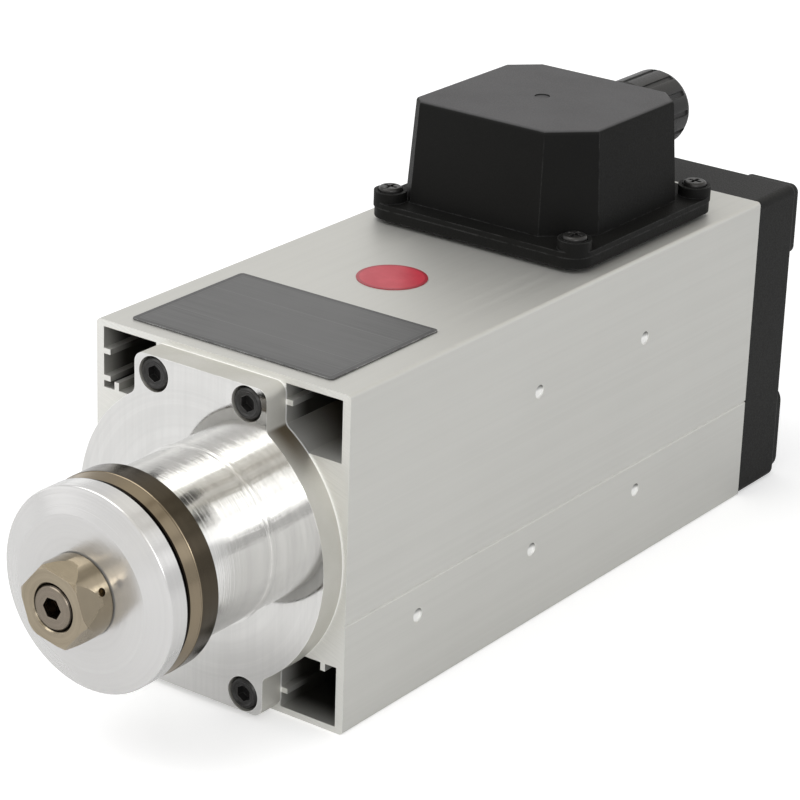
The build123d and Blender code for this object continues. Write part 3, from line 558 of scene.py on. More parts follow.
@dataclass(frozen=True)
class FacedPlate(Finish):
    """Bright turned plate: its face mirrors the boss, the boss has lathe rings and the rim is satin."""

    metallic: float = 1.0
    spread: float = 0.12
    boss_radius: float = 24.4
    boss_roughness: float = 0.13
    face_tone: float = 0.92
    rim_metallic: float = 0.35
    rim_roughness: Pair = (0.45, 0.55)
    rim_colours: tuple[Colour, Colour] = ((0.5, 0.49, 0.44), (0.58, 0.57, 0.53))
    # Painted shade: brown on the upward faces of the arc by the duct, deepening towards the housing.
    arc_shade_colour: Colour = (0.13, 0.105, 0.07)
    arc_rise: Pair = (20.0, 33.0)
    arc_end: Pair = (37.0, 35.0)
    arc_depth: Pair = (33.0, 40.0)
    back: float = 42.1
    back_colour: Colour = (0.9, 0.9, 0.88)

    def dress(self, graph: Graph) -> Inputs:
        """Face, boss and rim each get their own sheen; painted brown shade falls on the arc by the duct,
        deeper inwards, and the rim's rear edge is rubbed.

        Args:
            graph: Graph of the material.

        Returns:
            What feeds each input of the shader.
        """
        x, y, z = graph.spot
        beyond = graph.radius > self.boss_radius * MM
        on_boss = graph.maths("SUBTRACT", 1.0, beyond)
        on_rim = beyond * graph.spread(abs(graph.facing[1]), 0.75, 0.4)
        rings = effects.place(graph, Effect.TURNED, Spread=self.spread, Rings=5000.0)
        cloud = effects.cloud(graph, 35.0)
        grain = effects.place(graph, Effect.GRAIN, Scale=2500.0, Contrast=0.5)
        strokes = graph.noise(graph.joined(x, 0.0, z * 0.04), 600.0, 3.0, 0.6)
        lines = self.toned(graph, self.colour, strokes, 0.88, 0.35, 0.7, 0.5)
        tone = self.toned(graph, lines, cloud, 1.08, share=0.45)
        ringed = self.toned(graph, tone, rings["Broad"], 0.85, 0.35, 0.65, 0.3)
        satin = graph.blend(graph.spread(cloud, 0.3, 0.7), *self.rim_colours)
        # Painted shade on the arc by the duct: brown on upward faces, deepening with the station.
        (rise, full), (end, last), (near, far) = self.arc_rise, self.arc_end, self.arc_depth
        arc = graph.spread(z, rise * MM, full * MM) * graph.spread(z, end * MM, last * MM)
        upward = arc * graph.spread(graph.facing[2], 0.2, 0.6)
        shaded = upward * graph.spread(y, near * MM, far * MM, 0.3, 1.0)
        rubbed = graph.spread(y, self.back * MM, (self.back + FADE) * MM)
        rim = graph.blend(rubbed, graph.blend(shaded, satin, self.arc_shade_colour), self.back_colour)
        faced = graph.blend(on_boss, graph.scaled(ringed, self.face_tone), ringed)
        smear = graph.mixed(on_boss, self.rough(graph, strokes, 0.3, 0.75, 0.7, 1.5), self.boss_roughness)
        speckled = graph.spread(grain["Speckle"], 0.0, 1.0, *self.rim_roughness)
        flat = graph.add("NewGeometry", {}, "Normal")
        return {
            "Base Color": graph.blend(effects.edge(graph, 0.4, 300.0), graph.blend(on_rim, faced, rim),
                                      self.shade(1.2)),
            "Metallic": graph.spread(on_rim, 0.0, 1.0, self.metallic, self.rim_metallic),
            "Roughness": graph.mixed(on_rim, smear, speckled),
            "Normal": graph.add("Mix", {0: on_boss, 4: flat, 5: rings["Normal"]}, 1, data_type="VECTOR"),
        }


@dataclass(frozen=True)
class DrawnMetal(Finish):
    """Satin drawn aluminium section with sawn ends, painted shade in the ducts and painted light in the
    dimples.
    """

    metallic: float = 0.75
    spread: float = 0.01
    # Painted shade in the ducts: the walls darken behind the mouth, brownish on the upper floors.
    duct_across: Pair = (20.6, 38.8)
    duct_height: Pair = (24.6, 44.9)
    mouth: Pair = (42.6, 52.0)
    ledge_reach: float = 14.0
    ledge_facing: float = 0.5
    duct_shade_colours: tuple[Colour, Colour] = ((0.055, 0.053, 0.045), (0.17, 0.14, 0.095))
    # Painted light in the dimples: painted shade under the upper edge, a painted highlight at the lower one.
    dimple_depth: Pair = (40.2, 40.9)
    dimple_band: Pair = (17.5, 30.0)
    dimple_from: float = 50.0
    dimple_levels: Pair = (-24.2, 22.0)
    dimple_shade: Pair = (1.3, -0.3)
    dimple_shade_and_highlight: tuple[Colour, Colour] = ((0.26, 0.26, 0.25), (0.9, 0.9, 0.89))

    def dress(self, graph: Graph) -> Inputs:
        """Lines run along the section, ends are sawn, the dimples get painted shade and highlight, and
        painted shade darkens the ducts with depth.

        Args:
            graph: Graph of the material.

        Returns:
            What feeds each input of the shader.
        """
        lines = effects.place(graph, Effect.DRAWN, Spread=self.spread, Lines=6000.0)
        ends = effects.place(graph, Effect.SAWN, Lines=2500.0)
        tone = self.toned(graph, self.colour, lines["Broad"], 0.93, 0.35, 0.65, 0.3)
        mottled = self.toned(graph, tone, effects.cloud(graph, 14.0), 1.05, share=0.5)
        cut = graph.blend(ends["Strokes"], self.shade(1.15), self.shade(1.5))
        faced = graph.blend(ends["Mask"], mottled, cut)
        worn = graph.blend(effects.edge(graph, 0.35, 350.0), faced, self.shade(1.3))
        return {
            "Base Color": self.darkened(graph, self.dimpled(graph, worn)),
            "Roughness": self.rough(graph, lines["Broad"], 0.3, 0.7, 0.96, 1.04),
            "Normal": lines["Normal"],
        }

    def dimpled(self, graph: Graph, colour: Value) -> Value:
        """Paint light into the dimples in both sides: painted shade under the upper edge and a painted
        highlight at the lower one.

        Args:
            graph: Graph of the material.
            colour: Colour of the metal.

        Returns:
            The colour with the dimples.
        """
        x, y, z = graph.spot
        sunk = abs(x).within(*self.dimple_depth) * abs(z).within(*self.dimple_band)
        height = graph.mixed(z > 0.0, *(z - level * MM for level in self.dimple_levels))
        dark, bright = self.dimple_shade
        # Painted shade and painted highlight across each dimple's height.
        tone = graph.blend(graph.spread(height, dark * MM, bright * MM), *self.dimple_shade_and_highlight)
        return graph.blend(sunk * (y > self.dimple_from * MM), colour, tone)

    def darkened(self, graph: Graph, colour: Value) -> Value:
        """Paint shade on the duct walls behind their mouths; on the upper ducts' floors, which catch light
        further in, the painted shade is brownish and deepens more slowly.

        Args:
            graph: Graph of the material.
            colour: Colour of the metal.

        Returns:
            The colour with the painted shade in the ducts.
        """
        x, y, z = graph.spot
        (web, side), (floor, roof), (near, far) = self.duct_across, self.duct_height, self.mouth
        ledge = (z > floor * MM) * (graph.facing[2] > self.ledge_facing)
        inner = abs(x).within(web, side) * abs(z).within(floor, roof)
        deep = graph.mixed(ledge, graph.spread(y, near * MM, far * MM),
                           graph.spread(y, near * MM, (far + self.ledge_reach) * MM))
        # Painted shade: near black on the walls, brownish on the upward floors.
        return graph.blend(inner * deep, colour, graph.blend(ledge, *self.duct_shade_colours))


@dataclass(frozen=True)
class Moulded(Finish):
    """Moulded plastic or rubber with fine grain, rubbed edges, and settled dust that also stands for a
    painted sheen on what looks up.
    """

    grain: float = 2600.0
    depth: float = 0.00004
    # Dust and painted sheen: faces that look up turn lighter grey, partly settled dust, partly a painted
    # sheen of the bright top.
    dust_and_sheen_colour: Colour = (0.12, 0.118, 0.12)
    dust: float = 0.6
    dust_and_sheen_from: float = -100.0
    rub: float = 0.25
    rub_colour: Colour = (0.16, 0.16, 0.16)

    def dress(self, graph: Graph) -> Inputs:
        """Grain gives bump and speckle, and dust with a painted sheen lightens what looks up.

        Args:
            graph: Graph of the material.

        Returns:
            What feeds each input of the shader.
        """
        grain = effects.place(graph, Effect.GRAIN, Scale=self.grain, Contrast=0.6)
        dust = effects.place(graph, Effect.DUST, Scale=40.0, Amount=self.dust)
        speckled = graph.blend(grain["Speckle"] * 0.5, self.colour, self.shade(1.5))
        mottled = self.toned(graph, speckled, effects.cloud(graph, 25.0), 0.7, share=0.4)
        # Dust and painted sheen on upward faces above a height.
        dust_and_sheen_mask = dust["Mask"] * (graph.spot[2] > self.dust_and_sheen_from * MM)
        dust_and_sheen_tinted = graph.blend(dust_and_sheen_mask, mottled, self.dust_and_sheen_colour)
        return {
            "Base Color": graph.blend(effects.edge(graph, 0.5, 250.0) * self.rub, dust_and_sheen_tinted, self.rub_colour),
            "Roughness": self.rough(graph, grain["Speckle"], 0.0, 1.0, 0.88, 1.12),
            "Normal": graph.bump(grain["Height"], 0.6, self.depth),
        }


@dataclass(frozen=True)
class RoughMetal(Finish):
    """Cast, plated or blackened metal with an even fine grain."""

    metallic: float = 1.0
    grain: float = 1800.0
    depth: float = 0.00005
    stain: Colour = (0.3, 0.3, 0.3)
    rub_colour: Colour = (0.42, 0.41, 0.4)

    def dress(self, graph: Graph) -> Inputs:
        """Grain, soft stains and rubbed edges.

        Args:
            graph: Graph of the material.

        Returns:
            What feeds each input of the shader.
        """
        grain = effects.place(graph, Effect.GRAIN, Scale=self.grain, Contrast=0.8)
        soft = graph.spread(effects.cloud(graph, 120.0), 0.35, 0.75, 0.0, 0.5)
        stained = graph.blend(soft, self.colour, self.stain)
        speckled = graph.blend(grain["Speckle"] * 0.3, stained, self.shade(1.2))
        return {
            "Base Color": graph.blend(effects.edge(graph, 0.2, 900.0) * 0.5, speckled, self.rub_colour),
            "Roughness": self.rough(graph, grain["Speckle"], 0.0, 1.0, 0.85, 1.2),
            "Normal": graph.bump(grain["Height"], 0.5, self.depth),
        }


@dataclass(frozen=True)
class Layered(Finish):
    """Stacked sheet or wound wire: fine layers along the spindle axis."""

    metallic: float = 1.0
    pitch: float = 0.5
    around: bool = False
    gap_colour: Colour = (0.05, 0.05, 0.05)
    gap_roughness: float = 0.7

    def dress(self, graph: Graph) -> Inputs:
        """Dark gaps between the layers, in tone and in height.

        Args:
            graph: Graph of the material.

        Returns:
            What feeds each input of the shader.
        """
        step = graph.spot[1] + graph.radius if self.around else graph.spot[1]
        wander = graph.noise(graph.place, 300.0) * (self.pitch * MM * 0.4)
        wave = graph.maths("PINGPONG", (step + wander) / (self.pitch * MM), 0.5)
        layer = graph.spread(wave, 0.04, 0.2)
        varied = self.toned(graph, self.shade(0.8), effects.cloud(graph, 90.0), 1.15)
        return {
            "Base Color": graph.blend(layer, self.gap_colour, varied),
            "Roughness": graph.spread(layer, 0.0, 1.0, self.gap_roughness, self.roughness),
            "Normal": graph.bump(wave, 1.0, 0.1 * MM),
        }


@dataclass(frozen=True)
class PrintedPlate(Finish):
    """Dark name plate with thin ruled lines, brushed along its length."""

    centre: Pair = (-1.0, 69.9)
    size: Pair = (65.0, 45.0)
    border: float = 1.6
    rule: float = 9.0
    line_widths: Pair = (0.15, 0.12)
    rule_colour: Colour = (0.2, 0.2, 0.2)
    edge_colour: Colour = (0.45, 0.45, 0.44)

    def dress(self, graph: Graph) -> Inputs:
        """A thin border and two rules on a brushed dark ground.

        Args:
            graph: Graph of the material.

        Returns:
            What feeds each input of the shader.
        """
        x, y, z = graph.spot
        across, along = (abs(part - middle * MM) for part, middle in zip((x, y), self.centre))
        side, end = (graph.maths("SUBTRACT", size / 2 * MM, part)
                     for size, part in zip(self.size, (across, along)))
        rim = graph.maths("MINIMUM", side, end)
        thick, thin = self.line_widths
        border = graph.maths("COMPARE", rim, self.border * MM, thick * MM)
        ruled = graph.maths("COMPARE", along, self.rule * MM, thin * MM) * (side > self.border * MM)
        brushed = graph.noise(graph.joined(x * 0.02, y, z), 1500.0, 3.0)
        ground = self.toned(graph, self.shade(0.7), brushed, 1.3)
        mottled = self.toned(graph, ground, effects.cloud(graph, 35.0), 1.3, share=0.4)
        framed = graph.blend(graph.spread(rim, 1.2 * MM, 2.6 * MM, 0.6, 0.0), mottled, self.shade(0.45))
        lined = graph.blend(graph.maths("MAXIMUM", border, ruled) * 0.4, framed, self.rule_colour)
        return {
            "Base Color": graph.blend(effects.edge(graph, 0.3, 300.0), lined, self.edge_colour),
            "Roughness": self.rough(graph, brushed, 0.3, 0.7, 0.85, 1.2),
            "Normal": graph.bump(brushed, 0.3, 0.02 * MM),
        }


@dataclass(frozen=True)
class RoundFilm(Finish):
    """Glossy round sticker with a darker printed rim."""

    centre: Pair = (-1.6, 116.7)
    radius: float = 9.7
    rim: float = 0.9
    blur: float = 0.15

    def dress(self, graph: Graph) -> Inputs:
        """A darker rim, a slightly uneven ground and a faint orange peel.

        Args:
            graph: Graph of the material.

        Returns:
            What feeds each input of the shader.
        """
        offset = (part - middle * MM for part, middle in zip(graph.spot, self.centre))
        reach, inner = graph.vector("LENGTH", graph.joined(*offset, 0.0)), self.radius - self.rim
        band = graph.spread(reach, (inner - self.blur) * MM, (inner + self.blur) * MM)
        cloud = effects.cloud(graph, 120.0)
        return {
            "Base Color": graph.blend(band, self.toned(graph, self.colour, cloud, 0.86), self.shade(0.62)),
            "Roughness": self.rough(graph, cloud, 0.2, 0.8, 0.8, 1.2),
            "Normal": graph.bump(graph.noise(graph.place, 1500.0), 0.2, 0.03 * MM),
        }


FINISHES: dict[Slot, Finish] = {
    Slot.EXTRUDED: DrawnMetal("satin drawn aluminium", (0.6, 0.597, 0.57), 0.52),
    Slot.MACHINED: FacedPlate("bright faced aluminium", (0.78, 0.775, 0.76), 0.06),
    Slot.CAST: RoughMetal("cast aluminium", (0.5, 0.5, 0.49), 0.5, stain=(0.36, 0.36, 0.35)),
    Slot.BLACK_STEEL: RoughMetal("blackened steel", (0.035, 0.034, 0.033), 0.34, metallic=0.6,
                                 stain=(0.02, 0.02, 0.02)),
    Slot.ZINC: RoughMetal("zinc plated steel", (0.55, 0.55, 0.53), 0.3, stain=(0.4, 0.41, 0.37)),
    Slot.CORE: Layered("stacked core sheet", (0.26, 0.27, 0.29), 0.45),
    Slot.COPPER: Layered("varnished copper winding", (0.55, 0.24, 0.1), 0.35, pitch=0.8, around=True,
                         gap_colour=(0.12, 0.04, 0.015)),
    # Painted shade on the outer edge of the shaft end, in the gap to the nut's bore.
    Slot.GROUND: TurnedMetal("ground steel", (0.24, 0.205, 0.165), 0.24, spread=0.06, patches=0.5,
                             ring=(5.6, 6.1)),
    Slot.BEARING: TurnedMetal("polished bearing steel", (0.62, 0.62, 0.63), 0.12, spread=0.02, patches=0.12),
    # Painted dark reflection on the cylinder behind the groove; painted shade with oil residue in the seam.
    Slot.BRONZED: TurnedMetal("bronzed turned steel", (0.25, 0.205, 0.145), 0.2, spread=0.05, patches=0.3,
                              rear_shade_tone=0.27, seam_shade_and_oil_tone=0.05, bare_back=8.0),
    Slot.POLISHED: TurnedMetal("bright turned steel", (0.66, 0.655, 0.645), 0.2, metallic=0.68, spread=0.1,
                               patches=0.16, seam=(-1.8, 0.0), seam_shade_and_oil_tone=0.04),
    # Painted shade at the nut's rear seam and inside its bore.
    Slot.NUT: TurnedMetal("brownish nut steel", (0.34, 0.29, 0.215), 0.17, spread=0.05, patches=0.6,
                          rear_shade_from=-10.5, rear_shade_tone=0.2, ring=(0.0, 6.3)),
    Slot.FAN: Moulded("fan plastic", (0.025, 0.025, 0.026), 0.5, dust=0.15),
    Slot.COVER: Moulded("fan cover plastic", (0.011, 0.011, 0.0105), 0.55, specular=0.12, dust=0.1),
    # The lid's top gets dust with a painted sheen, lighter than its sides.
    Slot.BOX: Moulded("terminal box plastic", (0.007, 0.007, 0.0066), 0.55, specular=0.1, dust=0.85,
                      dust_and_sheen_from=75.0),
    Slot.GLAND: Moulded("gland plastic", (0.012, 0.012, 0.012), 0.42, specular=0.3, dust=0.2),
    Slot.BLOCK: Moulded("terminal block resin", (0.62, 0.56, 0.42), 0.5, dust=0.0, rub=0.0),
    Slot.BRASS: RoughMetal("stud brass", (0.62, 0.44, 0.18), 0.28, stain=(0.4, 0.26, 0.1)),
    Slot.RUBBER: Moulded("black rubber", (0.014, 0.014, 0.014), 0.8, specular=0.3, grain=4000.0, dust=0.2),
    Slot.PLATE: PrintedPlate("dark name plate", (0.1, 0.1, 0.099), 0.42, specular=0.35),
    Slot.STICKER: RoundFilm("red sticker film", (0.56, 0.035, 0.06), 0.32),
}


@cache
def material_of(slot: Slot) -> bpy.types.Material:
    """Give the material of a slot, built when first asked for."""
    return FINISHES[slot].material()


class Bench:
    """Modelling steps that the sub-assemblies share; sizes and places are in millimetres."""

    weld: float = 0.002
    close_weld: float = 0.001
    flat_angle: float = 0.6

    @staticmethod
    def clear() -> None:
        """Deselect everything and leave edit mode."""
        if bpy.context.object and bpy.context.object.mode != "OBJECT":
            bpy.ops.object.mode_set(mode="OBJECT")
        bpy.ops.object.select_all(action="DESELECT")

    @staticmethod
    def pick(piece: Piece) -> None:
        """Make one object the only one selected, and the active one."""
        Bench.clear()
        piece.select_set(True)
        bpy.context.view_layer.objects.active = piece

    @staticmethod
    def edit(piece: Piece, kind: str, wanted: Callable[[object], bool]) -> None:
        """Open a piece in edit mode with only the wanted edges or faces selected.

        Args:
            piece: Object to edit.
            kind: EDGE or FACE.
            wanted: Test of one edge or face.
        """
        Bench.pick(piece)
        bpy.ops.object.mode_set(mode="EDIT")
        bpy.ops.mesh.select_mode(type=kind)
        bpy.ops.mesh.select_all(action="DESELECT")
        bpy.ops.object.mode_set(mode="OBJECT")
        for part in piece.data.edges if kind == "EDGE" else piece.data.polygons:
            part.select = wanted(part)
        bpy.ops.object.mode_set(mode="EDIT")

    @staticmethod
    def bevel_edges(piece: Piece, width: float, segments: int,
                    wanted: Callable[[Vector, Vector], bool]) -> None:
        """Round the edges whose two ends pass a test.

        Args:
            piece: Object to round.
            width: Width of the rounding.
            segments: Faces across it.
            wanted: Test of an edge's two ends, in metres.
        """
        points = piece.data.vertices
        Bench.edit(piece, "EDGE", lambda edge: wanted(*(points[index].co for index in edge.vertices)))
        bpy.ops.mesh.bevel(offset=width * MM, segments=segments, affect="EDGES")
        bpy.ops.object.mode_set(mode="OBJECT")

    @staticmethod
    def finish(piece: Piece, width: float, segments: int = 2, angle: float = 28.0) -> None:
        """Round the edges of a piece and smooth its shading.

        Args:
            piece: Object to finish.
            width: Width of the rounding.
            segments: Faces across each rounding.
            angle: Sharpest angle that counts as smooth, in degrees.
        """
        Bench.pick(piece)
        bevel = piece.modifiers.new("rounding", "BEVEL")
        bevel.width = width * MM
        bevel.segments = segments
        bevel.limit_method = "ANGLE"
        bevel.angle_limit = math.radians(angle)
        bevel.miter_outer = "MITER_ARC"
        bpy.ops.object.modifier_apply(modifier=bevel.name)
        bpy.ops.object.shade_smooth_by_angle(angle=math.radians(angle))
        level = piece.modifiers.new("flat faces", "WEIGHTED_NORMAL")
        level.keep_sharp = True
        bpy.ops.object.modifier_apply(modifier=level.name)

    @staticmethod
    def copy_of(node: str, name: str) -> Piece:
        """Copy a CAD node as a merged mesh of clean faces.

        Args:
            node: Name of the node.
            name: Name of the new piece.

        Returns:
            The new object.
        """
        source = frame["nodes"][node]
        piece = source.copy()
        piece.data = source.data.copy()
        piece.name = piece.data.name = name
        for key in list(piece.keys()):
            if key.startswith("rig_"):
                del piece[key]
        bpy.context.scene.collection.objects.link(piece)
        Bench.pick(piece)
        if piece.data.has_custom_normals:
            bpy.ops.mesh.customdata_custom_splitnormals_clear()
        bpy.ops.object.mode_set(mode="EDIT")
        bpy.ops.mesh.select_all(action="SELECT")
        bpy.ops.mesh.remove_doubles(threshold=Bench.weld * MM)
        bpy.ops.mesh.dissolve_limited(angle_limit=math.radians(Bench.flat_angle))
        bpy.ops.object.mode_set(mode="OBJECT")
        return piece

    @staticmethod
    def lathe(name: str, profile: Sequence[Pair], steps: int = 192, centre: Pair = (0.0, 0.0)) -> Piece:
        """Turn a closed profile around an axis along Y, ring by ring.

        Args:
            name: Name of the new piece.
            profile: Station and radius of each ring.
            steps: Vertices around.
            centre: X and Z of the axis.

        Returns:
            The new object.
        """
        Bench.clear()
        station, radius = profile[0]
        bpy.ops.mesh.primitive_circle_add(
            vertices=steps, radius=radius * MM, rotation=(math.pi / 2, 0.0, 0.0),
            location=(centre[0] * MM, station * MM, centre[1] * MM))
        piece = bpy.context.object
        piece.name = piece.data.name = name
        bpy.ops.object.transform_apply(location=True, rotation=True, scale=True)
        bpy.ops.object.mode_set(mode="EDIT")
        bpy.ops.mesh.select_all(action="SELECT")
        for next_station, next_radius in (*profile[1:], profile[0]):
            bpy.ops.mesh.extrude_region()
            bpy.ops.transform.translate(value=(0.0, (next_station - station) * MM, 0.0))
            if next_radius != radius:
                grow = next_radius / radius
                bpy.ops.transform.resize(
                    value=(grow, 1.0, grow),
                    center_override=(centre[0] * MM, next_station * MM, centre[1] * MM))
            station, radius = next_station, next_radius
        bpy.ops.mesh.select_all(action="SELECT")
        bpy.ops.mesh.remove_doubles(threshold=Bench.close_weld * MM)
        bpy.ops.mesh.normals_make_consistent(inside=False)
        bpy.ops.object.mode_set(mode="OBJECT")
        return piece

    @staticmethod
    def rod(sides: int, radius: float, length: float, place: Triple,
            turn: Triple = (0.0, 0.0, 0.0)) -> Piece:
        """Add a rod, upright until it is turned.

        Args:
            sides: Its sides.
            radius: Radius of its corners.
            length: Its length.
            place: Its middle.
            turn: Its rotation, in radians.

        Returns:
            The new object.
        """
        Bench.clear()
        bpy.ops.mesh.primitive_cylinder_add(
            vertices=sides, radius=radius * MM, depth=length * MM, rotation=turn,
            location=[part * MM for part in place])
        return bpy.context.object

    @staticmethod
    def cut(piece: Piece, tool: Piece, kind: str = "DIFFERENCE") -> None:
        """Cut one object with another and remove the tool.

        Args:
            piece: Object to cut.
            tool: Object that cuts.
            kind: Boolean operation.
        """
        Bench.pick(piece)
        cutter = piece.modifiers.new("cut", "BOOLEAN")
        cutter.operation = kind
        cutter.solver = "EXACT"
        cutter.object = tool
        bpy.ops.object.modifier_apply(modifier=cutter.name)
        bpy.data.objects.remove(tool, do_unlink=True)

    @staticmethod
    def enlist(piece: Piece, slot: Slot, node: str, body: Body = Body.STATOR) -> None:
        """Dress a piece, put it on its body and hide the CAD node that it stands for.

        Args:
            piece: Finished piece.
            slot: Its finish.
            node: CAD node that it replaces.
            body: Body that it rides on.
        """
        Bench.dress(piece, slot)
        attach(piece, body.value)
        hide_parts(node)
        log.info("%s: %d faces", piece.name, len(piece.data.polygons))

    @staticmethod
    def dress(piece: Piece, slot: Slot) -> None:
        """Give a piece one material, that of its slot."""
        piece.data.materials.clear()
        piece.data.materials.append(material_of(slot))

    @staticmethod
    def carry(node: str, name: str, slot: Slot, width: float, segments: int = 2,
              body: Body = Body.STATOR) -> None:
        """Copy a CAD node whose shape is right, round its edges and enlist it.

        Args:
            node: Name of the node.
            name: Name of the piece.
            slot: Its finish.
            width: Width of the rounding.
            segments: Faces across each rounding.
            body: Body that it rides on.
        """
        piece = Bench.copy_of(node, name)
        Bench.finish(piece, width, segments)
        Bench.enlist(piece, slot, node, body)

    @staticmethod
    def four(last: Piece, row: Triple, step: Triple, node: str) -> None:
        """Copy the last of four screws to the other places, each with its own mesh, and enlist all.

        Args:
            last: The finished screw, whose name ends in 4.
            row: Step from the first two screws to the last two.
            step: Step from a row's first screw to its second.
            node: CAD node that they replace.
        """
        for number in range(4):
            screw = last
            if number < 3:
                screw = last.copy()
                screw.data = last.data.copy()
                screw.name = screw.data.name = f"{last.name[:-1]}{number + 1}"
                bpy.context.scene.collection.objects.link(screw)
                shift = [(far * (number // 2 - 1) + near * (number % 2 - 1)) * MM
                         for far, near in zip(row, step)]
                screw.data.transform(Matrix.Translation(shift))
            Bench.enlist(screw, Slot.BLACK_STEEL, node)


@dataclass
class Housing:
    """Drawn square housing."""

    rounding: float = 0.22

    def build(self) -> None:
        """Copy the section and soften its edges."""
        Bench.carry("housing", "housing_shell", Slot.EXTRUDED, self.rounding)


@dataclass
class FrontEndBell:
    """Front plate with its boss, and the four socket screws."""

    rounding: float = 0.25
    screw_rounding: float = 0.12
    screw_x: float = 15.0
    screw_z: float = 40.0
    seat: float = 39.7
    seat_overlap: float = 0.2
    shank_radius: float = 2.5
    head_radius: float = 4.25
    head_height: float = 5.0
    rim: float = 0.55
    socket_flats: float = 4.0
    socket_depth: float = 2.6
    dish: float = 0.35
    dish_radius: float = 2.9
    centre_radius: float = 0.05
    root: tuple[float, float, float, float] = (23.78, 25.9, 32.6, 34.69)

    def build(self) -> None:
        """Cut the groove at the boss's root, then build one screw and copy it to the other holes."""
        bell = Bench.copy_of("front_end_bell", "front_bell")
        inner, outer, high, low = self.root
        Bench.cut(bell, Bench.lathe("root_tool", [(high, inner), (high, outer), (low, outer), (low, inner)]))
        Bench.finish(bell, self.rounding)
        Bench.enlist(bell, Slot.MACHINED, "front_end_bell")
        across, up = (2 * self.screw_x, 0.0, 0.0), (0.0, 0.0, 2 * self.screw_z)
        Bench.four(self.screw(), across, up, "front_bell_screws")

    def screw(self) -> Piece:
        """Model the upper right screw: rounded head, dished top and hex socket.

        Returns:
            The screw.
        """
        top, under = self.seat - self.head_height, self.seat + self.seat_overlap
        head = Bench.lathe("bell_screw_4", [
            (self.seat, self.shank_radius), (self.seat, self.head_radius),
            (top + self.rim, self.head_radius), (top, self.head_radius - self.rim),
            (top, self.dish_radius + self.dish), (top + self.dish, self.dish_radius),
            (top + self.dish, self.centre_radius), (under, self.centre_radius), (under, self.shank_radius),
        ], 64, (self.screw_x, self.screw_z))
        Bench.cut(head, Bench.rod(6, self.socket_flats / math.sqrt(3), 2 * self.socket_depth,
                                  (self.screw_x, top, self.screw_z), (math.pi / 2, 0.0, 0.0)))
        Bench.finish(head, self.screw_rounding)
        return head


